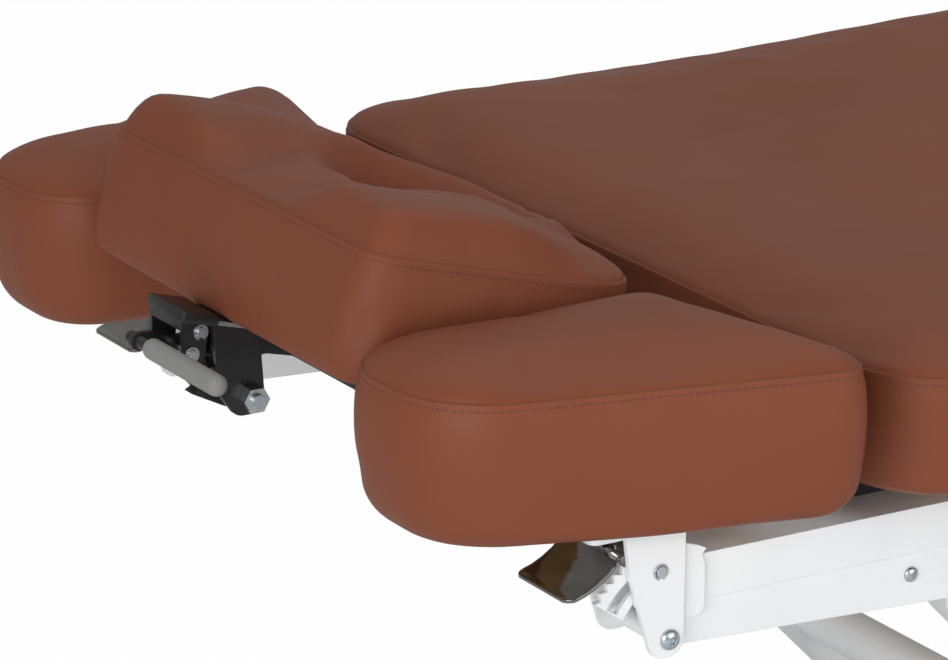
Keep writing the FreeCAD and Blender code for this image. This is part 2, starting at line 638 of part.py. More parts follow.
def make_crank():
    x, z = BASE_X, v.pivot_height
    ax, az = polar(x, z, v.crank_arm_reach, 180 - v.lift_rest_angle)
    cx, cz = CRANK_TUBE
    outline = belt([(x, z, v.crank_foot_radius), (cx, cz, v.crank_tube_radius + v.crank_rim),
                    (ax, az, v.crank_tip_radius)])
    bore = v.shaft_radius + v.soft_play
    hx, hz = polar(x, z, v.crank_hole_at, (v.crank_angle + 180 - v.lift_rest_angle) / 2)
    holes = [(x, z, "Sizes.shaft_radius + Sizes.soft_play", bore),
             (hx, hz, "Sizes.crank_hole_radius", v.crank_hole_radius)]
    half = v.arm_face - v.crank_plate_thick
    plates = [plate("crank_plate_" + name, outline, holes, "Sizes.crank_plate_thick",
                    side * (half + v.crank_plate_thick / 2)) for side, name in sides()]
    group("rear_crank_plates", *plates)
    tube = across("crank_bar", "Sizes.crank_tube_radius",
                  "Sizes.arm_face - Sizes.crank_plate_thick", cx, cz, half)
    px, pz = CRANK_PIN
    r = v.eye_radius - 2
    along = rad(v.crank_angle)
    side_way = (r * math.sin(along), -r * math.cos(along))
    down = (-r * math.cos(along), -r * math.sin(along))
    lug_outline = rounded([(px + side_way[0] + down[0], pz + side_way[1] + down[1]),
                           (cx + side_way[0], cz + side_way[1]),
                           (cx - side_way[0], cz - side_way[1]),
                           (px - side_way[0] + down[0], pz - side_way[1] + down[1])],
                          [r - 0.2, 0, 0, r - 0.2])
    pin_bore = (px, pz, "Sizes.pin_radius + Sizes.running_play", v.pin_radius + v.running_play)
    lugs = [plate("crank_lug_" + name, lug_outline, [pin_bore], "Sizes.crank_lug_thick",
                  side * (v.crank_lug_face + v.crank_lug_thick / 2)) for side, name in sides()]
    core = across("crank_bar_bore", "Sizes.crank_tube_radius - Sizes.tube_wall",
                  "Sizes.arm_face - Sizes.crank_plate_thick", cx, cz, half)
    bar = less("crank_bar_and_lugs", joined("crank_bar_solid", tube, *lugs), core)
    node(bar, "rear_crank_tube")
    value = v.crank_lug_face + v.crank_lug_thick + v.shaft_over
    pin = across("actuator_crank_pin", "Sizes.pin_radius",
                 "Sizes.crank_lug_face + Sizes.crank_lug_thick + Sizes.shaft_over", px, pz, value)
    node(pin, "actuator_crank_pin")


def make_actuator():
    tail = rounded([(-v.tail_radius, -v.tail_radius + 1), (v.gearbox_start, -v.tail_radius + 1),
                    (v.gearbox_start, v.tail_radius - 1), (-v.tail_radius, v.tail_radius - 1)],
                   [v.tail_radius - 2, 0, 0, v.tail_radius - 2])
    bore = (0, 0, "Sizes.pin_radius + Sizes.running_play", v.pin_radius + v.running_play)
    tail = plate("actuator_tail", tail, [bore], "2 * Sizes.tail_half", 0)
    gear = block("gearbox", (v.gearbox_start, -v.gearbox_half, -v.gearbox_low),
                 Length="Sizes.outer_tube_start - Sizes.gearbox_start",
                 Width="2 * Sizes.gearbox_half",
                 Height="Sizes.gearbox_low + Sizes.gearbox_high")
    motor = rod("motor_can", "Sizes.motor_radius", "Sizes.motor_length",
                (v.outer_tube_start, 0, v.motor_offset), (1, 0, 0))
    drive = joined("drive_unit", tail, gear, motor)
    drive.Placement = ACTUATOR_FRAME
    node(drive, "actuator_motor")
    length = "Sizes.outer_tube_end - Sizes.outer_tube_start"
    outer = rod("tube_solid", "Sizes.outer_tube_radius", length,
                (v.outer_tube_start, 0, 0), (1, 0, 0))
    inner = rod("tube_room", "Sizes.rod_radius + Sizes.rod_play", length,
                (v.outer_tube_start, 0, 0), (1, 0, 0))
    tube = less("guide_tube", outer, inner)
    tube.Placement = ACTUATOR_FRAME
    node(tube, "actuator_outer_tube")
    shaft = bind(doc.addObject("Part::Cylinder", "push_rod"), Radius="Sizes.rod_radius")
    shaft.Height = CHORD_LENGTH - v.rod_start
    shaft.Placement = Placement(Vector(v.rod_start, 0, 0),
                                Rotation(Vector(0, 0, 1), Vector(1, 0, 0)))
    eye = rod("rod_eye", "Sizes.eye_radius", "2 * Sizes.eye_half",
              (CHORD_LENGTH, -v.eye_half, 0), (0, 1, 0))
    r = v.pin_radius + v.running_play
    slot = belt([(CHORD_LENGTH - v.eye_slot, 0, r), (CHORD_LENGTH + v.eye_slot_out, 0, r)])
    opening = plate("rod_slot", slot, (), "4 * Sizes.eye_half", 0)
    push = less("push_rod_and_eye", joined("push_rod_solid", shaft, eye), opening)
    push.Placement = ACTUATOR_FRAME
    node(push, "actuator_rod")


# Top frame


def rail_side(shrink, foot_end):
    """Side view of a rail: its lower edge falls away from the head end."""
    top = v.rail_top - shrink
    head_low = v.rail_top - v.rail_head_depth + shrink
    low = v.rail_top - v.rail_depth + shrink
    return rounded(at([(v.rail_start + shrink, top), (foot_end, top), (foot_end, low),
                       (v.rail_taper_end, low), (v.rail_start + shrink, head_low)]),
                   [0, 0, 0, v.rail_taper_blend, 0])


def make_rails():
    screw_x, screw_z = at([(v.screw_x, v.screw_z)])[0]
    for side, name in sides():
        label = "side_rail_" + name
        middle = side * (v.rail_outer - v.rail_wide / 2)
        web = plate(label + "_web", rail_side(0, v.rail_end), (),
                    "Sizes.rail_wide - 2 * Sizes.rail_step", middle)
        fold = block(label + "_fold",
                     (HX + v.rail_start, middle - v.rail_wide / 2,
                      HZ + v.rail_top - v.rail_fold),
                     Length="Sizes.rail_end - Sizes.rail_start", Width="Sizes.rail_wide",
                     Height="Sizes.rail_fold")
        y0 = side * v.barrel_inner
        y1 = side * (v.rail_outer + v.sector_thick)
        barrel = rod(label + "_barrel", "Sizes.barrel_radius",
                     "Sizes.rail_outer + Sizes.sector_thick - Sizes.barrel_inner",
                     (HX, min(y0, y1), HZ), (0, 1, 0))
        room = plate(label + "_room", rail_side(v.tube_wall, v.rail_end + 5), (),
                     "Sizes.rail_wide - 2 * Sizes.rail_step - 2 * Sizes.tube_wall", middle)
        bolt_way = across(label + "_bolt_way", "Sizes.hinge_bolt_radius + Sizes.running_play",
                          "2 * Sizes.rail_outer", HX, HZ, 2 * v.rail_outer)
        screw_way = across(label + "_screw_way", "Sizes.screw_radius + Sizes.running_play",
                           "2 * Sizes.rail_outer", screw_x, screw_z, 2 * v.rail_outer)
        hollow = less(label + "_hollow", joined(label + "_solid", web, fold), room)
        whole = joined(label + "_whole", hollow, barrel)
        node(less(label, whole, bolt_way, screw_way), label)


def make_end_caps():
    caps = []
    for side, name in sides():
        y0 = side * v.rail_outer if side < 0 else v.rail_outer - v.rail_wide
        caps.append(block("rail_cap_" + name,
                          (HX + v.rail_end, y0, HZ + v.rail_top - v.rail_depth),
                          Length="Sizes.cap_thick", Width="Sizes.rail_wide",
                          Height="Sizes.rail_depth"))
    group("rail_end_caps", *caps)


CROSS_HALF = v.rail_outer - v.rail_wide - v.cross_gap
CROSS_WIDTH = "2 * (Sizes.rail_outer - Sizes.rail_wide - Sizes.cross_gap)"


def cross_tube(name, x, wide):
    """Square tube between the rails, up to the board."""
    low = HZ + v.board_low - v.cross_high
    return box_tube(name, (x, -CROSS_HALF, low), 1, Length=wide, Width=CROSS_WIDTH,
                    Height="Sizes.cross_high")


def make_head_member():
    tube = cross_tube("head_member_tube", HX + v.head_member_x, "Sizes.head_member_wide")
    x, z = at([(v.head_member_x, v.board_low - v.flange_drop)])[0]
    screw_x, screw_z = at([(v.screw_x, v.screw_z)])[0]
    flanges = []
    for side, name in sides():
        y0 = CROSS_HALF - v.flange_thick if side > 0 else -CROSS_HALF
        flanges.append(block("flange_" + name, (x, y0, z), Length="Sizes.flange_length",
                             Width="Sizes.flange_thick", Height="Sizes.flange_drop"))
    way = across("flange_screw_way", "Sizes.screw_radius + Sizes.running_play",
                 "Sizes.rail_outer", screw_x, screw_z, v.rail_outer)
    member = less("head_member", joined("head_member_solid", tube, *flanges), way)
    node(member, "head_cross_member")


def make_cross_tubes():
    half = v.cross_high / 2
    low = HZ + v.board_low - v.cross_high
    tubes = [cross_tube("cross_end", HX + v.end_tube_x - half, "Sizes.cross_high")]
    bore = v.shaft_radius + v.running_play
    r = v.lug_radius
    for which, x in UPPER.items():
        pieces = [cross_tube("cross_" + which, x - half, "Sizes.cross_high")]
        outline = rounded([(x - half, low), (x - r, upper_pivot_z - r),
                           (x + r, upper_pivot_z - r), (x + half, low)],
                          [0, r - 0.5, r - 0.5, 0])
        hole = (x, upper_pivot_z, "Sizes.shaft_radius + Sizes.running_play", bore)
        for side, name in sides():
            pieces.append(plate("top_lug_%s_%s" % (which, name), outline, [hole],
                                "Sizes.lug_thick", side * (v.lug_face - v.lug_thick / 2)))
        tubes.append(joined("cross_set_" + which, *pieces))
    group("frame_cross_tubes", *tubes)


def button_screw(tag, x, z, face, side, sizes):
    """Button-head screw: a shank inwards and a domed head outwards from a face."""
    radius, head_radius, head_high, length, length_value = sizes
    start = min(face, face - side * length_value)
    shank = rod("shank_" + tag, radius, length, (x, start, z), (0, 1, 0))
    head = bind(doc.addObject("Part::Cone", "head_" + tag), Radius1=head_radius,
                Radius2="%s * 0.55" % head_radius, Height=head_high)
    head.Placement = Placement(Vector(x, face, z), Rotation(Vector(0, 0, 1), Y_AXIS * side))
    return joined("screw_" + tag, shank, head)


def make_screws():
    x, z = at([(v.screw_x, v.screw_z)])[0]
    face = v.rail_outer - v.rail_step
    length = face - CROSS_HALF + v.flange_thick
    sizes = ("Sizes.screw_radius", "Sizes.screw_head_radius", "Sizes.screw_head_high",
             "Sizes.rail_wide - Sizes.rail_step + Sizes.cross_gap + Sizes.flange_thick", length)
    group("rail_screws", *[button_screw("rail_" + name, x, z, side * face, side, sizes)
                           for side, name in sides()])


def make_hinge_bolts():
    face = v.outer_plate + v.plate_thick
    length = face - v.inner_plate + v.bolt_end
    sizes = ("Sizes.hinge_bolt_radius", "1.8 * Sizes.hinge_bolt_radius",
             "Sizes.hinge_bolt_radius",
             "Sizes.outer_plate + Sizes.plate_thick - Sizes.inner_plate + Sizes.bolt_end", length)
    group("armrest_pivot_bolts", *[button_screw("hinge_" + name, HX, HZ, side * face, side, sizes)
                                   for side, name in sides()])


# Headrest carrier and its mechanism

TX, TZ = at([(v.tilt_pivot_x, v.tilt_pivot_z)])[0]


def below_pad(x, gap):
    """Height at a place, some way square below the headrest's bottom plane."""
    slope = math.tan(rad(v.head_tilt))
    down = (v.head_thick + gap) / math.cos(rad(v.head_tilt))
    return v.head_edge_z - slope * (x - v.head_edge_x) - down


def make_carrier():
    boss = v.boss_radius
    under = v.arm_below
    px, pz = v.tilt_pivot_x, v.tilt_pivot_z
    deep = under + v.spine_deep
    edge = boss + 1
    head_x, neck_x, end_x = px - edge, px + edge, v.spine_end
    spine = rounded(at([(head_x, pz - edge), (neck_x, pz - edge),
                        (neck_x - 4, below_pad(neck_x, deep)), (end_x, below_pad(end_x, deep)),
                        (end_x, below_pad(end_x, under)), (neck_x, below_pad(neck_x, under)),
                        (head_x, pz + v.spine_shoulder)]),
                    [edge - 0.1, edge - 2, 8, 0, 0, 6, 8])
    bore = [(TX, TZ, "Sizes.tilt_bolt_radius + Sizes.running_play",
             v.tilt_bolt_radius + v.running_play)]
    pieces = []
    for side, name in sides():
        pieces.append(plate("spine_" + name, spine, bore, "Sizes.spine_thick",
                            side * (v.spine_inner + v.spine_thick / 2)))
        fork = rounded(at([(end_x - v.crossbar_wide, below_pad(end_x, deep)),
                           (end_x - v.crossbar_wide, below_pad(end_x, under)),
                           (v.head_member_x, below_pad(v.head_member_x, under)),
                           (v.head_member_x, below_pad(v.head_member_x, deep + 8))]), [0] * 4)
        pieces.append(plate("fork_" + name, fork, (), "Sizes.fork_thick",
                            side * (v.fork_inner + v.fork_thick / 2)))
        start = side * (v.spine_inner + v.spine_thick)
        wide = v.tilt_plate_inner - v.soft_play - v.spine_inner - v.spine_thick
        boss_rod = rod("boss_" + name, "Sizes.boss_radius",
                       "Sizes.tilt_plate_inner - Sizes.soft_play"
                       " - Sizes.spine_inner - Sizes.spine_thick",
                       (TX, min(start, start + side * wide), TZ), (0, 1, 0))
        pieces.append(boss_rod)
    low = below_pad(end_x, deep)
    bar_x, bar_z = at([(end_x - v.crossbar_wide, low)])[0]
    pieces.append(block("crossbar", (bar_x, -v.fork_inner - v.fork_thick / 2, bar_z),
                        Length="Sizes.crossbar_wide",
                        Width="2 * Sizes.fork_inner + Sizes.fork_thick",
                        Height="Sizes.spine_deep"))
    way = across("carrier_bolt_way", "Sizes.tilt_bolt_radius + Sizes.running_play",
                 "Sizes.fork_inner", TX, TZ, v.fork_inner)
    node(less("carrier", joined("carrier_solid", *pieces), way), "carrier_arm")


def make_quadrant():
    teeth = []
    count = int(v.quadrant_teeth)
    for k in range(count):
        angle = v.quadrant_first + k * v.quadrant_step
        teeth.append(polar(TX, TZ, v.quadrant_radius, angle))
        if k < count - 1:
            teeth.append(polar(TX, TZ, v.quadrant_radius - v.tooth_depth,
                               angle + v.quadrant_step / 2))
    hub = v.boss_radius - 1
    points = teeth + [polar(TX, TZ, hub * 1.3, 225), polar(TX, TZ, hub * 1.3, 315)]
    radii = [0.0] * len(teeth) + [hub * 0.8, hub * 0.8]
    bore = [(TX, TZ, "Sizes.tilt_bolt_radius + Sizes.running_play",
             v.tilt_bolt_radius + v.running_play)]
    node(plate("tilt_quadrant", rounded(points, radii), bore, "2 * Sizes.quadrant_half", 0),
         "tilt_quadrant")


def hexagon(x, z, flats):
    """Six-sided outline by its width across flats."""
    corner = flats / math.sqrt(3)
    return rounded([polar(x, z, corner, 60 * k) for k in range(6)], [0] * 6)


def make_tilt_bolt():
    face = v.tilt_plate_inner + v.tilt_plate_thick + v.running_play
    over = v.nut_high + v.bolt_over
    shank = rod("tilt_shank", "Sizes.tilt_bolt_radius",
                "2 * (Sizes.tilt_plate_inner + Sizes.tilt_plate_thick + Sizes.running_play)"
                " + Sizes.nut_high + Sizes.bolt_over", (TX, -face - over, TZ), (0, 1, 0))
    head = plate("tilt_head", hexagon(TX, TZ, v.nut_flats), (), "Sizes.nut_high * 0.7",
                 face + v.nut_high * 0.35)
    nut = plate("tilt_nut", hexagon(TX, TZ, v.nut_flats), (), "Sizes.nut_high",
                -face - v.nut_high / 2)
    node(joined("tilt_bolt_set", shank, head, nut), "tilt_bolt")


def make_tilt_plates():
    under = v.base_plate_thick
    left, right = v.tilt_pivot_x - 29, v.tilt_pivot_x + 7
    px, pz, r = v.tilt_pivot_x, v.tilt_pivot_z, v.boss_radius
    outline = rounded(at([(left, below_pad(left, under)), (left + 2.5, pz + 28),
                          (left - 0.5, pz + 25), (left + 4.4, pz + 6), (px - r, pz - r),
                          (px + r, pz - r), (px + r - 2, pz + 6),
                          (right, below_pad(right, under))]),
                      [0, 1.5, 3, 4, r - 1, r - 1, 0, 0])
    bore = [(TX, TZ, "Sizes.tilt_bolt_radius + Sizes.running_play",
             v.tilt_bolt_radius + v.running_play)]
    middle = v.tilt_plate_inner + v.tilt_plate_thick / 2
    group("tilt_plates", *[plate("tilt_plate_" + name, outline, bore, "Sizes.tilt_plate_thick",
                                 side * middle) for side, name in sides()])


def make_base_plate():
    low = -v.head_thick - v.base_plate_thick
    tongue = block("plate_tongue", (0, 0, 0), Height="Sizes.base_plate_thick",
                   Length="Sizes.base_plate_out + Sizes.wing_start",
                   Width="2 * Sizes.base_plate_half")
    tongue.Placement.Base = Vector(-v.base_plate_out, -v.base_plate_half, low)
    wing = block("plate_wing", (v.wing_start, -v.base_plate_wing, low),
                 Length="Sizes.base_plate_long - Sizes.base_plate_out - Sizes.wing_start",
                 Width="2 * Sizes.base_plate_wing", Height="Sizes.base_plate_thick")
    whole = joined("base_plate", tongue, wing)
    whole.Placement = HEAD_FRAME
    node(whole, "headrest_base_plate")


def mech_pins():
    """The two cross pins of the lever bracket."""
    return {"upper": at([(v.upper_pin_x, v.upper_pin_z)])[0],
            "lower": at([(v.lower_pin_x, v.lower_pin_z)])[0]}


def make_bracket():
    under = v.base_plate_thick
    front = v.lower_pin_x - 7
    back = v.tilt_pivot_x - 31
    outline = rounded(at([(front, below_pad(front, under)), (back, below_pad(back, under)),
                          (back - 5, v.lower_pin_z - 9), (front, v.lower_pin_z - 9)]),
                      [0, 0, 6, 6])
    holes = [(x, z, "Sizes.mech_pin_radius + Sizes.running_play",
              v.mech_pin_radius + v.running_play) for x, z in mech_pins().values()]
    middle = v.bracket_inner + v.bracket_thick / 2
    cheeks = [plate("bracket_cheek_" + name, outline, holes, "Sizes.bracket_thick",
                    side * middle) for side, name in sides()]
    lip = rounded(at([(front, below_pad(front, under)), (front + 3, below_pad(front + 3, under)),
                      (front + 3, below_pad(front, under) - 8),
                      (front, below_pad(front, under) - 8)]), [0] * 4)
    web = plate("bracket_lip", lip, (), "2 * (Sizes.bracket_inner + Sizes.bracket_thick)", 0)
    node(joined("bracket", web, *cheeks), "lever_bracket")


def make_mech_pins():
    half = v.bracket_inner + v.bracket_thick + v.pin_over
    pins = []
    clips = []
    for name, (x, z) in mech_pins().items():
        pins.append(across("mech_pin_" + name, "Sizes.mech_pin_radius",
                           "Sizes.bracket_inner + Sizes.bracket_thick + Sizes.pin_over",
                           x, z, half))
        y0 = -v.bracket_inner - v.bracket_thick - 1.2 * v.clip_thick
        ring = rod("clip_" + name, "Sizes.mech_pin_radius + Sizes.clip_rim",
                   "Sizes.clip_thick", (x, y0, z), (0, 1, 0))
        bore = rod("clip_bore_" + name, "Sizes.mech_pin_radius + Sizes.running_play",
                   "Sizes.clip_thick", (x, y0, z), (0, 1, 0))
        gap = block("clip_gap_" + name, (x - 1.5, y0, z - 8), Length="3",
                    Width="Sizes.clip_thick", Height="8")
        clips.append(less("clip_ring_" + name, ring, bore, gap))
    group("bracket_pins", *pins)
    group("pin_clips", *clips)


def make_release_lever():
    hx, hz = at([(v.handle_x, v.handle_z)])[0]
    px, pz = mech_pins()["lower"]
    tip_x, tip_z = polar(TX, TZ, v.quadrant_radius + v.pawl_gap, v.pawl_angle)
    grow = v.handle_radius + 1.5
    hub = v.lever_hub_radius
    bore = [(px, pz, "Sizes.mech_pin_radius + Sizes.running_play",
             v.mech_pin_radius + v.running_play)]
    arm = rounded([(hx - grow, hz - grow), (px + hub, pz - hub), (px + hub, pz + hub),
                   (hx - grow, hz + grow)], [grow - 0.5, hub - 1, hub - 1, grow - 0.5])
    side_plate = plate("lever_side", arm, bore, "Sizes.lever_side_thick",
                       v.lever_side_near + v.lever_side_thick / 2)
    pawl = rounded([(px - hub, pz - hub), (px + 4, pz - hub), (tip_x, tip_z),
                    (px + 8, pz + hub), (px - hub, pz + hub)], [hub - 1, 4, 0, 4, hub - 1])
    pawl_plate = plate("lever_pawl", pawl, bore, "2 * Sizes.pawl_half", 0)
    far = v.lever_side_near + v.lever_side_thick
    sleeve = rod("lever_sleeve", "Sizes.lever_hub_radius - 1",
                 "Sizes.pawl_half + Sizes.lever_side_near + Sizes.lever_side_thick",
                 (px, -v.pawl_half, pz), (0, 1, 0))
    sleeve_bore = rod("lever_sleeve_bore", "Sizes.mech_pin_radius + Sizes.running_play",
                      "Sizes.pawl_half + Sizes.lever_side_near + Sizes.lever_side_thick",
                      (px, -v.pawl_half, pz), (0, 1, 0))
    near = v.grip_near - v.grip_radius
    bar = rod("lever_bar", "Sizes.handle_radius",
              "Sizes.grip_near - Sizes.grip_radius + Sizes.handle_far",
              (hx, -near, hz), (0, 1, 0))
    whole = joined("lever_solid", side_plate, pawl_plate, sleeve, bar)
    node(less("lever", whole, sleeve_bore), "release_lever")
    r = v.grip_radius
    inner = v.handle_radius
    far = -v.grip_far - r
    slope = r / math.sqrt(2)
    mouth = math.sqrt(r * r - inner * inner)
    turn = math.atan2(mouth, inner) / 2
    edges = [Part.Arc(Vector(0, -near - r, 0), Vector(slope, -near - slope, 0),
                      Vector(r, -near, 0)),
             Part.LineSegment(Vector(r, -near, 0), Vector(r, far, 0)),
             Part.Arc(Vector(r, far, 0), Vector(r * math.cos(turn), far + r * math.sin(turn), 0),
                      Vector(inner, far + mouth, 0)),
             Part.LineSegment(Vector(inner, far + mouth, 0), Vector(inner, -near, 0)),
             Part.LineSegment(Vector(inner, -near, 0), Vector(0, -near, 0)),
             Part.LineSegment(Vector(0, -near, 0), Vector(0, -near - r, 0))]
    node(turned("lever_grip", edges, hx, 0, hz), "lever_grip")


# Armrest hinge, lock and paddle

LOCK_X, LOCK_Z = polar(HX, HZ, v.lock_pin_at, v.lock_pin_angle)


def sector_outline():
    """Toothed sector about the hinge line, with a leg down on to the rail."""
    first = v.sector_first
    count = int(v.sector_teeth)
    points = []
    radii = []
    for k in range(count):
        angle = first + v.sector_step * (count - k)
        points += [polar(HX, HZ, v.sector_radius, angle),
                   polar(HX, HZ, v.sector_radius - v.sector_tooth, angle - v.sector_step / 2)]
        radii += [0.0, 0.0]
    for angle in (first, 92.0, 84.0, 76.0, 68.0):
        points.append(polar(HX, HZ, v.sector_radius, angle))
        radii.append(0.0)
    tip_x, tip_z = polar(0, 0, v.sector_radius, 61.0)
    right = at([(tip_x, tip_z), (tip_x - 3.6, tip_z - 3.9), (tip_x - 0.8, tip_z - 10.7),
                (tip_x - 1, 10), (v.rail_start + 6, 10)])
    points += right
    radii += [0.0, 3.0, 0.0, 8.0, 2.0]
    for angle in (70.0, 90.0, 110.0, 130.0, first + v.sector_step * count + 3):
        points.append(polar(HX, HZ, v.sector_inner, angle))
        radii.append(0.0)
    return rounded(points, radii)


def slot_tool(name, middle):
    """Arc slot that the lock pin runs in while the armrest swings."""
    first = rad(v.lock_pin_angle - 5)
    last = rad(v.lock_pin_angle + v.armrest_swing + 5)
    mid = (first + last) / 2

    def spot(radius, angle):
        return Vector(HX + radius * math.cos(angle), HZ + radius * math.sin(angle), 0)

    inner = v.lock_pin_at - v.slot_half
    outer = v.lock_pin_at + v.slot_half
    edges = [Part.Arc(spot(outer, first), spot(outer, mid), spot(outer, last)),
             Part.LineSegment(spot(outer, last), spot(inner, last)),
             Part.Arc(spot(inner, last), spot(inner, mid), spot(inner, first)),
             Part.LineSegment(spot(inner, first), spot(outer, first))]
    return plate(name, edges, (), "4 * Sizes.sector_thick", middle)


def make_sectors():
    sectors = []
    for side, name in sides():
        middle = side * (v.rail_outer + v.sector_thick / 2)
        blank = plate("sector_blank_" + name, sector_outline(), (), "Sizes.sector_thick", middle)
        sectors.append(less("sector_" + name, blank, slot_tool("sector_slot_" + name, middle)))
    group("lock_sectors", *sectors)


def make_armrest_brackets():
    end = v.boss_radius
    outline = rounded(at([(-v.plate_head, v.plate_top), (-v.plate_waist, v.plate_waist_high),
                          (-end - 1, -end), (end - 1, -end), (end, v.plate_top)]),
                      [0, v.plate_blend, end - 1, end - 1, 0])
    holes = [(HX, HZ, "Sizes.hinge_bolt_radius + Sizes.running_play",
              v.hinge_bolt_radius + v.running_play),
             (LOCK_X, LOCK_Z, "Sizes.lock_pin_radius", v.lock_pin_radius)]
    for side, name in sides():
        plates = [plate("%s_%s" % (name, which), outline, holes, "Sizes.plate_thick",
                        side * (face + v.plate_thick / 2))
                  for which, face in (("outer_plate", v.outer_plate),
                                      ("inner_plate", v.inner_plate))]
        y0, y1 = sorted((side * v.mount_inner, side * (v.outer_plate + v.plate_thick)))
        x0, x1 = HX - v.mount_head, HX + v.mount_foot
        deck = rounded([(x0, y0), (x1, y0), (x1, y1), (x0, y1)], [v.mount_corner] * 4)
        mount = plate(name + "_mount", deck, (), "Sizes.mount_plate_thick",
                      HZ + v.plate_top + v.mount_plate_thick / 2, "XY_Plane")
        label = name + "_armrest_bracket"
        node(joined(label, mount, *plates), label)
        over = v.shaft_over / 2
        low = v.inner_plate - over
        length = v.outer_plate + v.plate_thick + over - low
        pin = rod(name + "_lock_pin_bar", "Sizes.lock_pin_radius",
                  "Sizes.outer_plate + Sizes.plate_thick - Sizes.inner_plate + Sizes.shaft_over",
                  (LOCK_X, min(side * low, side * (low + length)), LOCK_Z), (0, 1, 0))
        node(pin, name + "_lock_pin")


def make_paddles():
    tip, root, low, high = v.paddle_tip, v.paddle_root, v.paddle_low, v.paddle_high
    blade = rounded(at([(-tip, low), (-root, high), (-root, high + v.paddle_sheet),
                        (-tip, low + v.paddle_sheet)]), [1, 0, 0, 1])
    neck = rounded(at([(-root - 0.5, high - 0.2), (-10, high - 11.5), (-4, high - 3.5),
                       (-root - 0.5, high + 3.1)]), [0, 0, 0, 0])
    pawl_x, pawl_z = polar(HX, HZ, v.sector_radius + v.pawl_gap + v.paddle_pawl_radius,
                           v.paddle_pawl_angle)
    for side, name in sides():
        front = plate(name + "_blade", blade, (), "Sizes.paddle_wide",
                      side * (v.paddle_inner + v.paddle_wide / 2))
        stem = plate(name + "_neck", neck, (), "Sizes.neck_wide",
                     side * (v.neck_inner + v.neck_wide / 2))
        inner = v.neck_inner - 2
        long = v.neck_wide + 4
        hub = rod(name + "_hub", "Sizes.paddle_hub_radius", "Sizes.neck_wide + 4",
                  (LOCK_X, min(side * inner, side * (inner + long)), LOCK_Z), (0, 1, 0))
        start = v.neck_inner + v.neck_wide - 10
        reach_out = v.rail_outer + v.sector_thick - 0.2 - start
        pawl = rod(name + "_pawl", "Sizes.paddle_pawl_radius",
                   "Sizes.rail_outer + Sizes.sector_thick - 0.2 - Sizes.neck_inner"
                   " - Sizes.neck_wide + 10",
                   (pawl_x, min(side * start, side * (start + reach_out)), pawl_z), (0, 1, 0))
        bore = across(name + "_hub_bore", "Sizes.lock_pin_radius + Sizes.running_play",
                      "2 * Sizes.rail_outer", LOCK_X, LOCK_Z, 2 * v.rail_outer)
        whole = joined(name + "_paddle_solid", front, stem, hub, pawl)
        node(less(name + "_paddle", whole, bore), name + "_release_paddle")


make_base_rails()
make_base_cross()
make_feet()
make_shafts()
make_actuator_mount()
make_controls()
make_foot_switch()
for pair in ("rear", "front"):
    make_lift_arms(pair)
make_crank()
make_actuator()
make_rails()
make_end_caps()
make_head_member()
make_cross_tubes()
make_screws()
make_hinge_bolts()
make_main_cushion()
make_armrest_pads()
make_headrest_pad()
make_carrier()
make_quadrant()
make_tilt_bolt()
make_tilt_plates()
make_base_plate()
make_bracket()
make_mech_pins()
make_release_lever()
make_sectors()
make_armrest_brackets()
make_paddles()
doc.recompute()


def check_and_write():
    """Stop on any failed object or shape, then write one file for each node."""
    for obj in doc.Objects:
        if "Invalid" in obj.State or "Error" in obj.State:
            raise RuntimeError("failed object " + obj.Label)
    for obj in nodes:
        shape = obj.Shape
        if shape.isNull() or not shape.isValid() or not shape.Solids:
            raise RuntimeError("bad shape " + obj.Label)
    for obj in nodes:
        obj.Shape.exportStep(os.path.join("parts", obj.Label + ".step"))
    print("wrote", len(nodes), "nodes")


check_and_write()
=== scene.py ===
import json
import math
import bmesh
import bpy
import numpy as np
from mathutils import Matrix, Vector
from mathutils.bvhtree import BVHTree


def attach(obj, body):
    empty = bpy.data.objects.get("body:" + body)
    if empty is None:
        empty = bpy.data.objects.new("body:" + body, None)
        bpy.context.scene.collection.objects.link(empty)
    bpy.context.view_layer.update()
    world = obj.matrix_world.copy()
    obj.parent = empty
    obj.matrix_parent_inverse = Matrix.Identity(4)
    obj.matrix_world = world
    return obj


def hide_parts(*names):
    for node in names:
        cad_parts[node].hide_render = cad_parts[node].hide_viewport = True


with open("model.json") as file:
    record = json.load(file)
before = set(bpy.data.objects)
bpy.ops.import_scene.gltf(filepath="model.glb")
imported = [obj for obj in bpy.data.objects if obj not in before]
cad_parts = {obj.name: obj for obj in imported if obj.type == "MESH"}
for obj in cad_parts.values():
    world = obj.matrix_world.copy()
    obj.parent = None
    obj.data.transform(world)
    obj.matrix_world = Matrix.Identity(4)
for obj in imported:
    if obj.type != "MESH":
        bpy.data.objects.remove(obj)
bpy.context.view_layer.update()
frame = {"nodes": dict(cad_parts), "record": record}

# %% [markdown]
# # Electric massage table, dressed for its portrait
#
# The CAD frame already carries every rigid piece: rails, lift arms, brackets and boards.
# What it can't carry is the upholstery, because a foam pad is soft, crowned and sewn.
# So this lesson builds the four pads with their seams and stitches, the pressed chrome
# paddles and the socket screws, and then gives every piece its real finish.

HINGE_X = -0.76925  # axis of the armrest hinges
HINGE_Z = 0.58801
MAIN_FOOT, MAIN_SEAM, MAIN_STITCH = HINGE_Z + 0.072, HINGE_Z + 0.160, HINGE_Z + 0.1545
ARM_FOOT, ARM_SEAM, ARM_STITCH = HINGE_Z + 0.080, HINGE_Z + 0.184, HINGE_Z + 0.1785
HALF_WIDTH = 0.400  # half of the usual 800 mm of such a table
PIN = (HINGE_X - 0.00737, HINGE_Z + 0.04814)  # middle of the lock pin
bpy.ops.object.select_all(action="DESELECT")

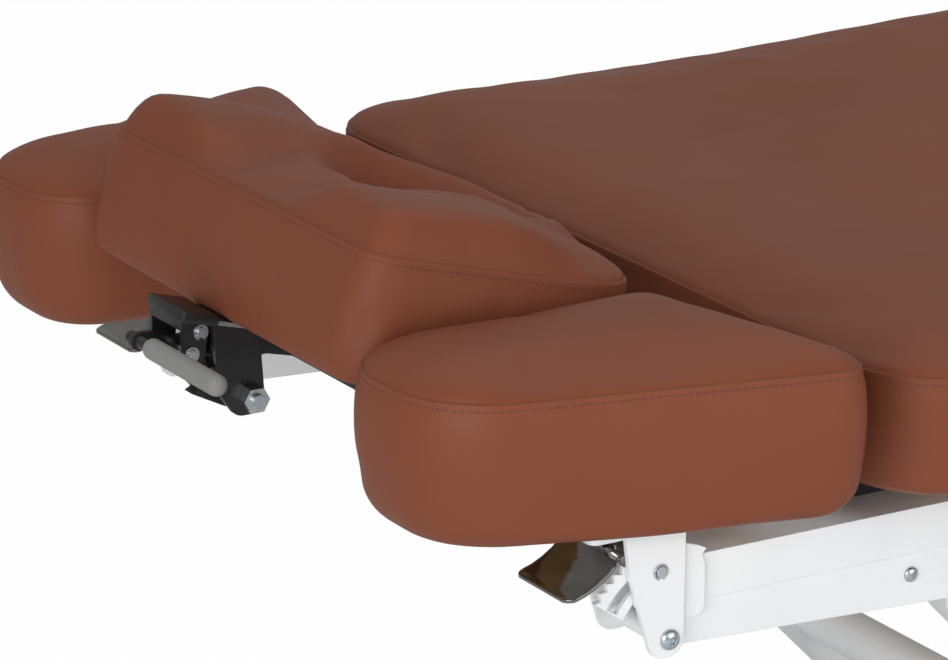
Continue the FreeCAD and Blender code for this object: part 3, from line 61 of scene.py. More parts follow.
# %% [markdown]
# ## The camera
#
# A product photograph of a long table is usually taken from some metres away with a long
# lens, so that the far end doesn't shrink much. One could drag the camera until the picture
# looks right. Here its place was worked out from the straight edges of the rail and the
# pads instead, because then the joints, gaps and bolts fall where they are in the picture.

# %% Camera
camera_data = bpy.data.cameras.new("camera")
camera_data.lens = 188.3
camera_data.sensor_width = 36.0
camera = bpy.data.objects.new("camera", camera_data)
bpy.context.scene.collection.objects.link(camera)
ahead = Vector((0.4885, 0.8183, -0.3030)).normalized()
right = Vector((0.8587, -0.5125, 0.0)).normalized()
above = right.cross(ahead)
turn = Matrix((right, above, -ahead)).transposed()
camera.matrix_world = Matrix.Translation((-2.41955, -2.861, 1.755)) @ turn.to_4x4()
bpy.context.scene.camera = camera
print("camera stands", round(camera.location.z, 3), "m high")

# %% [markdown]
# ## Colours and nodes
#
# A colour read from a screen is stored in sRGB, but the renderer mixes light in linear
# values. One function does that change for all the finishes. A second one adds a shader
# node with its settings, so that each finish below reads as a short list of what it does.

# %% Colour and node helpers


def linear(text, alpha=1.0):
    """Linear colour from a six-digit hex text."""
    parts = [int(text[i:i + 2], 16) / 255 for i in (1, 3, 5)]
    return [p / 12.92 if p <= 0.04045 else ((p + 0.055) / 1.055) ** 2.4 for p in parts] + [alpha]


def add(tree, kind, inputs=(), **settings):
    """One node, with inputs given as {socket: value or (node, output)}."""
    item = tree.nodes.new("ShaderNode" + kind)
    for name, value in settings.items():
        setattr(item, name, value)
    for name, value in dict(inputs).items():
        if isinstance(value, tuple) and isinstance(value[0], bpy.types.Node):
            tree.links.new(value[0].outputs[value[1]], item.inputs[name])
        else:
            item.inputs[name].default_value = value
    return item


def finish(name, **sockets):
    """New material: its tree, its shader and the object's own coordinates."""
    material = bpy.data.materials.new(name)
    material.use_nodes = True
    tree = material.node_tree
    shader = tree.nodes["Principled BSDF"]
    for socket, value in sockets.items():
        shader.inputs[socket.replace("_", " ")].default_value = value
    place = add(tree, "TexCoord")
    return material, tree, shader, (place, "Object")


def blotches(tree, place, scale, detail, low, high):
    """Soft noise turned into a value between low and high."""
    noise = add(tree, "TexNoise", {"Vector": place, "Scale": scale, "Detail": detail})
    return add(tree, "MapRange", {"Value": (noise, "Fac"), "From Min": 0.3, "From Max": 0.7,
                                  "To Min": low, "To Max": high})


def two_tone(tree, factor, first, second):
    """Mix of two tones by a value."""
    mixer = add(tree, "Mix", data_type="RGBA")
    tree.links.new(factor[0].outputs[factor[1]], mixer.inputs[0])
    mixer.inputs[6].default_value = linear(first)
    mixer.inputs[7].default_value = linear(second)
    return (mixer, 2)


def relief(tree, shader, height, distance, strength=1.0):
    """Fine relief from a height value, in metres."""
    bump = add(tree, "Bump", {"Height": height, "Distance": distance, "Strength": strength})
    tree.links.new(bump.outputs["Normal"], shader.inputs["Normal"])
    return bump


def colour(tree, shader, source):
    tree.links.new(source[0].outputs[source[1]], shader.inputs["Base Color"])


def rough(tree, shader, source):
    tree.links.new(source.outputs[0], shader.inputs["Roughness"])


FINISHES = {}
print("helpers ready")

# %% [markdown]
# ## Leatherette
#
# The pads are covered in a coated fabric: smooth to the hand, with a fine pebble grain
# pressed into the coating and a dull, slightly waxy sheen. A flat brown would look like
# clay. The eye needs three things: grains of about a millimetre, a slow drift of tone over
# a hand's breadth, and a sheen that varies from place to place. The scales of the noise and
# cell textures are repeats per metre: 820 gives grains of 1.2 mm and 190 creases of 5 mm.

# %% Leatherette finish
material, tree, shader, place = finish("brown_leatherette_coated_fabric")
drift = blotches(tree, place, 5.0, 3.0, 0.0, 1.0)
colour(tree, shader, two_tone(tree, (drift, 0), "#7a422d", "#7e4630"))
rough(tree, shader, blotches(tree, place, 14.0, 2.0, 0.47, 0.53))
shader.inputs["Specular IOR Level"].default_value = 0.17
grain = add(tree, "TexVoronoi", {"Vector": place, "Scale": 820.0, "Randomness": 1.0})
crease = add(tree, "TexNoise", {"Vector": place, "Scale": 190.0, "Detail": 4.0})
sum_up = add(tree, "Math", {0: (grain, "Distance"), 1: (crease, "Fac")}, operation="ADD")
relief(tree, shader, (sum_up, 0), 0.00012, 0.5)
FINISHES["upholstery"] = material

material, tree, shader, place = finish("polyester_sewing_thread", Roughness=0.6)
twist = add(tree, "TexWave", {"Vector": place, "Scale": 900.0, "Distortion": 1.0},
            bands_direction="DIAGONAL")
# The twist is painted darker in its grooves and lighter on its ridges: painted shade and
# highlight.
colour(tree, shader, two_tone(tree, (twist, "Fac"), "#5e3325", "#7c4735"))
relief(tree, shader, (twist, "Fac"), 0.0001, 0.6)
FINISHES["thread"] = material
print("soft finishes", sorted(FINISHES))

# %% [markdown]
# ## Powder coat, plating and plastics
#
# Powder coat is sprayed on dry and melted, which leaves a faint orange peel; the rails wear
# it in white and the headrest's steel in satin black. Fasteners are zinc plated, with the
# slight blue and yellow clouds of passivation, and the paddles are polished chrome with
# faint finger marks. Metals take their look from what they reflect, so only the colour,
# the gloss and a little unevenness are written here, and the studio does the rest. The
# chrome's colour holds a painted reflection: it is painted darker than real chrome is,
# because this studio is white all round, while in the photo half of the paddle is nearly
# black. The scales are 650 for an orange peel of 1.5 mm, 1500 and 2200 for a fine grain
# of 0.7 and 0.5 mm, and 40 to 90 for clouds of 25 to 11 mm.

# %% Coated steel


def powder_coat(name, first, second, low, high):
    """Melted powder: orange peel of about a millimetre."""
    material, tree, shader, place = finish(name)
    colour(tree, shader, two_tone(tree, (blotches(tree, place, 9.0, 2.0, 0.0, 1.0), 0),
                                  first, second))
    rough(tree, shader, blotches(tree, place, 60.0, 2.0, low, high))
    peel = add(tree, "TexNoise", {"Vector": place, "Scale": 650.0, "Detail": 1.0})
    edge = add(tree, "Bevel", {"Radius": 0.0008}, samples=4)
    bump = relief(tree, shader, (peel, "Fac"), 0.00005, 0.6)
    tree.links.new(edge.outputs[0], bump.inputs["Normal"])
    return material


FINISHES["white_powder_coat"] = powder_coat("white_fine_powder_coat", "#eceeef", "#e4e6e8",
                                            0.32, 0.4)
FINISHES["black_powder_coat"] = powder_coat("black_satin_powder_coat", "#131313", "#1b1b1c",
                                            0.3, 0.42)

# %% Plated and polished steel


def bare_metal(name, first, second, low, high, cloud=60.0, line=0.0):
    """Metal with clouded tone, and a fine grain where wanted."""
    material, tree, shader, place = finish(name, Metallic=1.0)
    colour(tree, shader, two_tone(tree, (blotches(tree, place, cloud, 3.0, 0.0, 1.0), 0),
                                  first, second))
    rough(tree, shader, blotches(tree, place, cloud * 2.5, 3.0, low, high))
    edge = add(tree, "Bevel", {"Radius": 0.0005}, samples=4)
    if line:
        lines = add(tree, "TexNoise", {"Vector": place, "Scale": line, "Detail": 2.0})
        bump = relief(tree, shader, (lines, "Fac"), 0.00002, 0.5)
        tree.links.new(edge.outputs[0], bump.inputs["Normal"])
    else:
        tree.links.new(edge.outputs[0], shader.inputs["Normal"])
    return material


FINISHES["zinc_plate"] = bare_metal("zinc_plated_steel", "#c0c9d0", "#b8c1c6", 0.24, 0.32,
                                    70.0, 1500.0)
# Both chrome tones are painted dark, as a painted reflection of dark surroundings.
FINISHES["chrome_lever"] = bare_metal("polished_chrome_sheet_painted_dark_reflection", "#8b8883", "#6f6c67",
                                      0.05, 0.12, 40.0)
FINISHES["bright_steel"] = bare_metal("ground_bright_steel", "#c9cbcc", "#bdbfc1", 0.2, 0.3,
                                      90.0, 2200.0)
print("metals", sorted(FINISHES))

# %% [markdown]
# The grip is a closed-cell foam sleeve. Its skin shows tiny pale and dark cells, which
# decide how it looks more than its grey does. The housings are moulded plastic with a
# spark-eroded texture, and the feet and pedals are plain rubber. The boards are plywood:
# long fibres that run with the table, so the noise is stretched along X, to 55 mm long and
# 3 mm wide. The foam's cells are drawn 0.9 mm wide and the moulded textures 0.7 to 2 mm,
# coarser than real ones, which would not show in the picture.

# %% Foam, rubber, plastics and plywood


def moulded(name, first, second, scale, height, low, high, cells=False):
    """Moulded or foamed piece: speckle and relief of one size."""
    material, tree, shader, place = finish(name)
    kind = "TexVoronoi" if cells else "TexNoise"
    out = "Distance" if cells else "Fac"
    skin = add(tree, kind, {"Vector": place, "Scale": scale})
    colour(tree, shader, two_tone(tree, (skin, out), first, second))
    rough(tree, shader, blotches(tree, place, 70.0, 2.0, low, high))
    relief(tree, shader, (skin, out), height, 0.6)
    return material


FINISHES["soft_grip"] = moulded("closed_cell_foam_grip", "#92928f", "#7b7b78", 1100.0, 0.00015,
                                0.8, 0.92, cells=True)
FINISHES["rubber_foot"] = moulded("moulded_black_rubber", "#141414", "#1e1e1e", 800.0,
                                  0.0001, 0.6, 0.78)
FINISHES["dark_plastic"] = moulded("moulded_black_plastic", "#1b1c1e", "#25262a", 1500.0,
                                   0.00006, 0.4, 0.52)
FINISHES["bush_plastic"] = moulded("turned_acetal_bush", "#dcd8cc", "#cfcabd", 500.0, 0.00003,
                                   0.35, 0.45)
FINISHES["drive_housing"] = moulded("moulded_grey_drive_housing", "#3a3c3e", "#46484a",
                                    1300.0, 0.00008, 0.42, 0.55)

material, tree, shader, place = finish("sanded_birch_plywood", Roughness=0.62)
stretch = add(tree, "Mapping", {"Vector": place, "Scale": (3.0, 60.0, 60.0)})
fibre = add(tree, "TexNoise", {"Vector": (stretch, 0), "Scale": 6.0, "Detail": 6.0})
colour(tree, shader, two_tone(tree, (fibre, "Fac"), "#c39a67", "#98703f"))
relief(tree, shader, (fibre, "Fac"), 0.0002, 0.4)
FINISHES["plywood"] = material
print("finishes", len(FINISHES))

# %% [markdown]
# The record says which finish each CAD piece has, so the pieces are dressed by that list.

# %% Dress the CAD pieces
for row in frame["record"]["subparts"]:
    piece = frame["nodes"][row["node"]]
    if not piece.material_slots:
        piece.data.materials.append(None)
    for slot in piece.material_slots:
        slot.material = FINISHES[row["material_slot"]]

# %% [markdown]
# ## Plans of the pads
#
# Each pad starts as a plan: a polygon with rounded corners, like the card template that an
# upholsterer cuts foam by. It could be drawn as a curve and filled, but then the faces
# would be long slivers, and slivers wrinkle badly in a cloth simulation. So the plan is
# cut into four sides, and a net of almost square faces is stretched between them.

# %% Plan helpers


def rounded_plan(points, radii, step=0.004):
    """Closed outline with rounded corners as evenly spaced points, counter-clockwise."""
    pts = [np.array(p, float) for p in points]
    area = sum(a[0] * b[1] - b[0] * a[1] for a, b in zip(pts, pts[1:] + pts[:1]))
    if area < 0:
        pts, radii = pts[::-1], list(radii)[::-1]
    path = []
    for i, corner in enumerate(pts):
        back = pts[i - 1] - corner
        onward = pts[(i + 1) % len(pts)] - corner
        back, onward = back / np.linalg.norm(back), onward / np.linalg.norm(onward)
        half = math.acos(np.clip(back @ onward, -1, 1)) / 2
        bisector = (back + onward) / np.linalg.norm(back + onward)
        centre = corner + bisector * radii[i] / math.sin(half)
        first = corner + back * radii[i] / math.tan(half) - centre
        last = corner + onward * radii[i] / math.tan(half) - centre
        a0 = math.atan2(first[1], first[0])
        sweep = (math.atan2(last[1], last[0]) - a0) % (2 * math.pi)
        for share in np.linspace(0, 1, 24):
            angle = a0 + sweep * share
            path.append(centre + radii[i] * np.array([math.cos(angle), math.sin(angle)]))
    return evenly(np.array(path), step)


def evenly(path, step):
    """Closed path resampled at even steps."""
    closed = np.vstack([path, path[:1]])
    run = np.concatenate([[0], np.cumsum(np.linalg.norm(np.diff(closed, axis=0), axis=1))])
    count = max(16, int(round(run[-1] / step)))
    where = np.arange(count) * run[-1] / count
    return np.column_stack([np.interp(where, run, closed[:, k]) for k in range(2)])


def outward(loop):
    """Unit normals that point out of a counter-clockwise loop."""
    along = np.roll(loop, -1, axis=0) - np.roll(loop, 1, axis=0)
    side = np.column_stack([along[:, 1], -along[:, 0]])
    return side / np.linalg.norm(side, axis=1)[:, None]


def distance_to(points, loop):
    """Shortest distance from each point to a closed loop."""
    a, b = loop, np.roll(loop, -1, axis=0)
    best = np.full(len(points), 1e9)
    for p, q in zip(a, b):
        d = q - p
        t = np.clip(((points - p) @ d) / max(d @ d, 1e-12), 0, 1)
        best = np.minimum(best, np.linalg.norm(points - (p + t[:, None] * d), axis=1))
    return best


def net(loop, corners, step, counts=None):
    """Net of quads inside a loop: points, faces, ids of its border, and its counts."""
    ids = [int(np.argmin(np.linalg.norm(loop - np.array(c), axis=1))) for c in corners]
    loop = np.roll(loop, -ids[0], axis=0)
    ids = [(i - ids[0]) % len(loop) for i in ids] + [len(loop)]
    closed = np.vstack([loop, loop[:1]])
    spans = []
    for k in range(4):
        part = closed[ids[k]:ids[k + 1] + 1]
        run = np.concatenate([[0], np.cumsum(np.linalg.norm(np.diff(part, axis=0), axis=1))])
        spans.append((part, run))
    n = max(4, int(round((spans[0][1][-1] + spans[2][1][-1]) / 2 / step)))
    m = max(4, int(round((spans[1][1][-1] + spans[3][1][-1]) / 2 / step)))
    n, m = counts or (n, m)
    sides = []
    for (part, run), count in zip(spans, (n, m, n, m)):
        where = np.linspace(0, run[-1], count + 1)
        sides.append(np.column_stack([np.interp(where, run, part[:, k]) for k in range(2)]))
    low, far, high, near = sides[0], sides[1], sides[2][::-1], sides[3][::-1]
    u = np.linspace(0, 1, n + 1)[:, None, None]
    w = np.linspace(0, 1, m + 1)[None, :, None]
    grid = ((1 - w) * low[:, None] + w * high[:, None] + (1 - u) * near[None] + u * far[None]
            - (1 - u) * (1 - w) * low[0] - u * (1 - w) * low[-1]
            - (1 - u) * w * high[0] - u * w * high[-1])
    number = np.arange((n + 1) * (m + 1)).reshape(n + 1, m + 1)
    faces = [(number[i, j], number[i + 1, j], number[i + 1, j + 1], number[i, j + 1])
             for i in range(n) for j in range(m)]
    border = (list(number[:-1, 0]) + list(number[-1, :-1]) + list(number[:0:-1, -1])
              + list(number[0, :0:-1]))
    return grid.reshape(-1, 2), faces, [int(b) for b in border], (n, m)


def swell(share, power=2.2):
    """Rise of a crowned panel: 0 at its seam, 1 inside."""
    return 1 - (1 - np.clip(share, 0, 1)) ** power


def new_object(name, points, faces, material):
    """Mesh object at the origin with outward normals."""
    mesh = bpy.data.meshes.new(name)
    mesh.from_pydata([tuple(p) for p in points], [], [tuple(int(i) for i in f) for f in faces])
    work = bmesh.new()
    work.from_mesh(mesh)
    bmesh.ops.recalc_face_normals(work, faces=work.faces)
    work.to_mesh(mesh)
    work.free()
    mesh.materials.append(material)
    mesh.polygons.foreach_set("use_smooth", [True] * len(mesh.polygons))
    item = bpy.data.objects.new(name, mesh)
    bpy.context.scene.collection.objects.link(item)
    return item


print("plan helpers ready")

# %% [markdown]
# ## A box pad
#
# A pad of this kind is a foam block with a cover of three panels: top, side band and
# bottom. The top panel is sewn to the band, and the seam pulls a fine valley all round.
# One could extrude the plan and round it with a bevel, but a bevel is the same everywhere.
# Here rings go down the band, one of them tucked in at the seam, and the net above it
# rises as the foam does: fast near the seam, hardly at all in the middle. Below, the cover
# is turned in round the board, so the rings end in a shallow room that the board sits in.
# The cover is pulled up over the foam's lower edge, most at the ends, so the foot of the
# band turns in along a quarter of an ellipse that is taller there.

# %% Box pad


def box_pad(name, plan, corners, lift, low, seam, crown, roll, belly, step, room):
    """Closed pad from its plan, with room for its board; says how firmly each point is held."""
    lip = 0.0028
    points, faces, border, counts = net(plan - outward(plan) * lip, corners, step)
    depth = distance_to(points, plan)
    height = seam + 0.0014 + crown(points[:, 0]) * swell((depth - lip) / roll)
    edge = points[border]
    away = outward(edge)
    raised = lift(edge[:, 0])
    least_turn, turn_in, toe_share = 0.009, 0.027, 0.95
    deep = raised + least_turn
    tall = seam - low - deep
    verts = [(x, y, z) for (x, y), z in zip(points, height)]
    rim = set(border)
    held = [1.0 if i in rim else 0.0 for i in range(len(verts))]
    rings = [(edge + away * out, seam + z, grip) for out, z, grip in (
        (0.0010, -0.0024, 1.0), (0.0022, -0.0003, 1.0), (0.0031, -0.0024, 0.9),
        (0.0033, -0.0085, 0.55))]
    for share in (0.2, 0.35, 0.5, 0.65, 0.8, 0.94):
        bulge = lip + belly * math.sin(math.pi * share) ** 0.8
        rings.append((edge + away * bulge, seam - tall * share, 0.12))
    room_plan, room_corners, room_high = room
    inside, room_faces, room_border, counts = net(room_plan, room_corners, step, counts)
    wall = inside[room_border]
    reach = np.linalg.norm(wall - edge, axis=1)[:, None]
    toe = edge + (wall - edge) * np.minimum(turn_in / reach, toe_share)
    for share in (0.14, 0.28, 0.42, 0.56, 0.7, 0.84, 1.0):
        turned = share * math.pi / 2
        ring = (edge + away * lip) * math.cos(turned) + toe * (1 - math.cos(turned))
        rings.append((ring, low + deep * (1 - math.sin(turned)), 0.3 + 0.7 * share))
    for above in (0.0, 0.0015, room_high - 0.0015):
        rings.append((wall, low + above, 1.0))
    last = border
    for ring_points, z, grip in rings:
        now = list(range(len(verts), len(verts) + len(edge)))
        verts += [(x, y, h) for (x, y), h in zip(ring_points, np.broadcast_to(z, len(edge)))]
        held += [grip] * len(edge)
        faces += bridge(last, now)
        last = now
    first = len(verts)
    verts += [(x, y, low + room_high) for x, y in inside]
    held += [1.0] * len(inside)
    faces += [tuple(first + i for i in face) for face in room_faces]
    faces += bridge(last, [first + i for i in room_border])
    return new_object(name, verts, faces, FINISHES["upholstery"]), held


def bridge(last, now):
    """Band of quads between two closed rings of the same count."""
    count = len(now)
    return [(last[i], now[i], now[(i + 1) % count], last[(i + 1) % count])
            for i in range(count)]


print("box pad ready")

# %% [markdown]
# ## Stuffing the cover
#
# A cover is cut a touch small and the foam presses it out. Moving points by a formula
# gives an even curve, but real covers strain differently at corners and along seams.
# Cloth with a light pressure inside finds that shape by itself. The seam and the foot are
# held, the cover is a little larger than its outline so that it takes soft waves, and no
# point may go further than a set limit, because foam is firmer than air.

# %% Cloth under pressure


def stuffed(item, held, limit, pressure=4.0, slack=-0.006):
    """Press the cover out by a short cloth run, capped and applied."""
    start = np.array([v.co for v in item.data.vertices])
    group = item.vertex_groups.new(name="held")
    for index, weight in enumerate(held):
        if weight > 0:
            group.add([index], weight, "REPLACE")
    cloth = item.modifiers.new("cloth", "CLOTH")
    settings = cloth.settings
    settings.quality = 6
    settings.mass = 0.4
    settings.tension_stiffness = settings.compression_stiffness = 25
    settings.shear_stiffness = 12
    settings.bending_stiffness = 6
    settings.air_damping = 3
    settings.vertex_group_mass = "held"
    settings.pin_stiffness = 8
    settings.shrink_min = slack
    settings.use_pressure = True
    settings.uniform_pressure_force = pressure
    settings.effector_weights.gravity = 0
    cloth.point_cache.frame_start = 1
    cloth.point_cache.frame_end = 20
    scene = bpy.context.scene
    for number in range(1, 21):
        scene.frame_set(number)
    shape = item.evaluated_get(bpy.context.evaluated_depsgraph_get()).to_mesh()
    end = np.array([v.co for v in shape.vertices])
    item.to_mesh_clear()
    item.modifiers.remove(cloth)
    item.vertex_groups.remove(group)
    scene.frame_set(1)
    move = end - start
    far = np.linalg.norm(move, axis=1)
    move *= np.where(far > 1e-9, limit * np.tanh(far / limit) / np.maximum(far, 1e-9), 0)[:, None]
    item.data.vertices.foreach_set("co", (start + move).ravel())
    item.data.update()
    print(item.name, "pressed out by up to", round(float(far.max()) * 1000, 1),
          "mm, kept", round(float(np.linalg.norm(move, axis=1).max()) * 1000, 1), "mm")
    return item


def smoother(item, levels=1):
    """One subdivision, applied."""
    modifier = item.modifiers.new("subdivision", "SUBSURF")
    modifier.levels = modifier.render_levels = levels
    evaluated = item.evaluated_get(bpy.context.evaluated_depsgraph_get())
    mesh = bpy.data.meshes.new_from_object(evaluated)
    item.modifiers.remove(modifier)
    old = item.data
    item.data = mesh
    bpy.data.meshes.remove(old)
    mesh.polygons.foreach_set("use_smooth", [True] * len(mesh.polygons))
    return item


print("cloth helpers ready")

# %% [markdown]
# ## Stitches
#
# A second row of stitches runs on the band some six millimetres below the seam; it holds
# the turned-in edge flat. A bump map could fake it, but at this distance each thread is
# two pixels long and throws its own light. So each stitch is a small spindle laid on the
# finished surface, sunk by half its thickness, as thread pulled into leatherette is.

# %% Stitches


def stitches(name, item, path, body, pitch=0.0052, share=0.68, thick=0.00042):
    """Row of sewn stitches along a closed path, laid on the surface of a pad."""
    tree = BVHTree.FromObject(item, bpy.context.evaluated_depsgraph_get())
    loop = np.vstack([path, path[:1]])
    run = np.concatenate([[0], np.cumsum(np.linalg.norm(np.diff(loop, axis=0), axis=1))])
    count = int(run[-1] / pitch)
    verts, faces = [], []
    for k in range(count):
        ends = []
        for side in (0.5 - share / 2, 0.5 + share / 2):
            where = (k + side) * run[-1] / count
            spot = Vector([float(np.interp(where, run, loop[:, c])) for c in range(3)])
            hit, normal = tree.find_nearest(spot)[:2]
            ends.append((hit, normal))
        (a, na), (b, nb) = ends
        along = (b - a)
        normal = (na + nb).normalized()
        across = along.cross(normal).normalized()
        first = len(verts)
        for t, fat in ((0.0, 0.25), (0.2, 0.9), (0.5, 1.0), (0.8, 0.9), (1.0, 0.25)):
            middle = a.lerp(b, t) + normal * thick * (0.15 + 0.35 * math.sin(math.pi * t))
            for corner in range(6):
                angle = math.pi / 3 * corner
                offset = across * math.cos(angle) + normal * math.sin(angle)
                verts.append(middle + offset * thick * fat)
        for ring in range(4):
            for corner in range(6):
                p = first + ring * 6 + corner
                q = first + ring * 6 + (corner + 1) % 6
                faces.append((p, q, q + 6, p + 6))
        faces.append(tuple(first + c for c in range(5, -1, -1)))
        faces.append(tuple(first + 24 + c for c in range(6)))
    row = new_object(name, verts, faces, FINISHES["thread"])
    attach(row, body)
    print(name, count, "stitches")
    return row


def band_path(plan, out, z):
    """Path on the side band, just outside the plan."""
    ring = plan + outward(plan) * out
    return np.column_stack([ring, np.full(len(ring), z)])


print("stitch helper ready")

# %% [markdown]
# ## The long pad
#
# The main pad carries the whole body: 1.6 m long and 0.8 m wide. Its sides are drawn in by
# a few millimetres between the corners, because the cover is tightest there, and its top
# rolls off over a hand's breadth, which is the soft light edge one sees along the table.

# %% Main pad


def drawn_in(plan, amount):
    """Plan with its straight sides pulled in between the corners."""
    middle = (plan.max(axis=0) + plan.min(axis=0)) / 2
    half = (plan.max(axis=0) - plan.min(axis=0)) / 2
    share = (plan - middle) / half
    pull = amount * np.cos(np.clip(share[:, ::-1], -1, 1) * math.pi / 2) ** 2
    return plan - np.sign(share) * pull * (np.abs(share) > 0.9)


def box_corners(x0, x1, half, inset):
    """Corners of a rectangle pulled in by a margin."""
    return [(x0 + inset, -half + inset), (x1 - inset, -half + inset),
            (x1 - inset, half - inset), (x0 + inset, half - inset)]


def main_crown(x):
    """The foam is worn flatter at the head end than along the body."""
    share = np.clip((x - HINGE_X - 0.30) / 0.45, 0, 1)
    return 0.014 + 0.017 * share * share * (3 - 2 * share)


start_x, end_x = HINGE_X + 0.145, HINGE_X + 1.746
outline = rounded_plan(box_corners(start_x, end_x, HALF_WIDTH, 0.0032), [0.072] * 4)
main_plan = drawn_in(outline, 0.003)
board_corners = box_corners(start_x, end_x, HALF_WIDTH, 0.059)
board_room = (rounded_plan(board_corners, [0.016] * 4), board_corners, 0.0126)
main_pad, held = box_pad("main_pad", main_plan, box_corners(start_x, end_x, HALF_WIDTH, 0),
                         lambda x: np.full(len(x), 0.004), MAIN_FOOT, MAIN_SEAM,
                         main_crown, 0.090, 0.002, 0.0135, board_room)
stuffed(main_pad, held, 0.004)
smoother(main_pad)
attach(main_pad, "top_frame")
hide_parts("main_cushion")
stitches("main_pad_stitches", main_pad, band_path(main_plan, 0.002, MAIN_STITCH), "top_frame")
print("main pad", len(main_pad.data.polygons), "faces")

# %% [markdown]
# ## The armrests
#
# The two armrests are mirror images: rounded at the head end, wider at the foot end and
# cut on a slant there, so that they close up against the long pad. Their foam is thicker
# than it looks from above, so the band has more belly than on the long pad.

# %% Armrest pads


def arm_corners(side, inset):
    """Corners of an armrest pulled in by a margin, in the plan's own order."""
    return [(HINGE_X - 0.176 + inset, side * (0.198 + inset)),
            (HINGE_X + 0.078 - inset, side * (0.198 + inset)),
            (HINGE_X + 0.128 - inset * 1.2, side * (0.412 - inset)),
            (HINGE_X - 0.176 + inset, side * (0.340 - inset))]


def arm_lift(x):
    """The foot of the band rises towards both ends."""
    return 0.024 * np.minimum(np.abs(x - HINGE_X + 0.022) / 0.150, 1) ** 1.6


for side, hand in ((-1, "near"), (1, "far")):
    order = slice(None, None, side)
    plan = rounded_plan(arm_corners(side, 0.0035), [0.0565, 0.0365, 0.0185, 0.0715])
    inner = arm_corners(side, 0.0312)
    room = (rounded_plan(inner, [0.028, 0.008, 0.005, 0.043]), inner[order], 0.0136)
    pad, held = box_pad(hand + "_arm_pad", plan, arm_corners(side, 0)[order], arm_lift,
                        ARM_FOOT, ARM_SEAM, lambda x: np.full(len(x), 0.017),
                        0.058, 0.004, 0.009, room)
    stuffed(pad, held, 0.004)
    smoother(pad)
    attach(pad, hand + "_armrest")
    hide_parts(hand + "_armrest_cushion")
    stitches(hand + "_arm_pad_stitches", pad, band_path(plan, 0.002, ARM_STITCH),
             hand + "_armrest")
print("armrests done")

# %% [markdown]
# ## The headrest
#
# The face goes into an oval hole, so this pad is a ring. Its rings of faces run from the
# outer seam over the top, down inside the hole and back below, so the mesh is one closed
# loop of loops with no joins. Round the hole the foam is built up to a soft rim and the
# cover is gathered into it, which leaves short folds that point at the hole.

# %% Headrest pad
HEAD_TURN = Matrix.Translation((HINGE_X - 0.135, 0, HINGE_Z + 0.243)) @ Matrix.Rotation(
    math.radians(15), 4, "Y")


def at_angle(loop, centre, angles):
    """Points of a loop where rays from a centre meet it."""
    rel = loop - centre
    turn_of = np.unwrap(np.arctan2(rel[:, 1], rel[:, 0]))
    order = np.argsort(turn_of % (2 * math.pi))
    keys = (turn_of % (2 * math.pi))[order]
    keys = np.concatenate([keys - 2 * math.pi, keys, keys + 2 * math.pi])
    reach = np.tile(np.linalg.norm(rel, axis=1)[order], 3)
    r = np.interp(angles % (2 * math.pi), keys, reach)
    return centre + np.column_stack([np.cos(angles), np.sin(angles)]) * r[:, None]


outer = rounded_plan([(0.0035, -0.1915), (0.2230, -0.1915), (0.2485, -0.069),
                      (0.2485, 0.069), (0.2230, 0.1915), (0.0035, 0.1915)],
                     [0.0245, 0.0665, 0.138, 0.138, 0.0665, 0.0245], 0.0062)
hole = rounded_plan([(0.105, -0.062), (0.215, -0.062), (0.215, 0.062), (0.105, 0.062)],
                    [0.050] * 4, 0.002)
centre = np.array([0.160, 0.0])
angles = np.arctan2(outer[:, 1] - centre[1], outer[:, 0] - centre[0])
inner = at_angle(hole, centre, angles)
normal = outward(outer)
inward = outward(inner)
rings = []
grips = []


def ring(points, z, grip):
    rings.append(np.column_stack([points, np.broadcast_to(z, len(points))]))
    grips.append(grip)


thick = 0.090
for out, z, grip in ((-0.0085, -thick, 1), (-0.0035, -thick + 0.0012, 1),
                     (-0.0005, -thick + 0.0045, 0.9), (0.0016, -thick * 0.86, 0.5)):
    ring(outer + normal * out, z, grip)
for share in (0.75, 0.62, 0.5, 0.38, 0.25):
    ring(outer + normal * 0.0035 * math.sin(math.pi * share) ** 0.8, -thick * share, 0.12)
for out, z, grip in ((0.0003, -0.0085, 0.55), (0.0002, -0.0024, 0.9), (-0.0007, -0.0003, 1),
                     (-0.0019, -0.0024, 1), (-0.0030, 0.0012, 1)):
    ring(outer + normal * out, z, grip)
folds = 0.5 + 0.5 * np.cos(angles * 13 + 1.2 * np.sin(angles * 3 + 0.7))
for share in list(np.linspace(0.05, 0.93, 17)) + [0.97, 1.0]:
    spot = outer * (1 - share) + inner * share
    to_seam = distance_to(spot, outer)
    to_hole = distance_to(spot, inner)
    lobe = np.exp(-((np.abs(spot[:, 1]) - 0.142) / 0.075) ** 4
                  - ((spot[:, 0] - 0.070) / 0.095) ** 4)
    quick = (to_seam - 0.0028) / (0.048 - 0.024 * lobe)
    rise = 0.0014 + (0.010 + 0.018 * lobe) * (1 - (1 - np.clip(quick, 0, 1)) ** (2.2 + 1.5 * lobe))
    rise += 0.006 * np.exp(-((to_hole - 0.026) / 0.016) ** 2)
    rise -= 0.016 * (1 - swell(to_hole / 0.024, 2.0))
    rise -= 0.0016 * folds * np.exp(-((to_hole - 0.012) / 0.016) ** 2)
    ring(spot, rise, 0.0 if share < 0.95 else 0.4)
for out, z in ((0.0016, -0.024), (0.0024, -0.040), (0.0022, -0.060), (0.0008, -0.080),
               (-0.0008, -0.0885)):
    ring(inner - inward * out, z, 0.7)
for out, z in ((0.003, -thick), (0.0072, -thick), (0.0075, -thick + 0.0107)):
    ring(inner + inward * out, z, 1)
ring(inner * 0.45 + (outer - normal * 0.0316) * 0.55, -thick + 0.0107, 1)
for out, z in ((0.0316, -thick + 0.0107), (0.0312, -thick), (0.020, -thick)):
    ring(outer - normal * out, z, 1)
count = len(outer)
verts = np.vstack(rings)
faces = []
for i in range(len(rings)):
    j = (i + 1) % len(rings)
    faces += [(i * count + k, i * count + (k + 1) % count, j * count + (k + 1) % count,
               j * count + k) for k in range(count)]
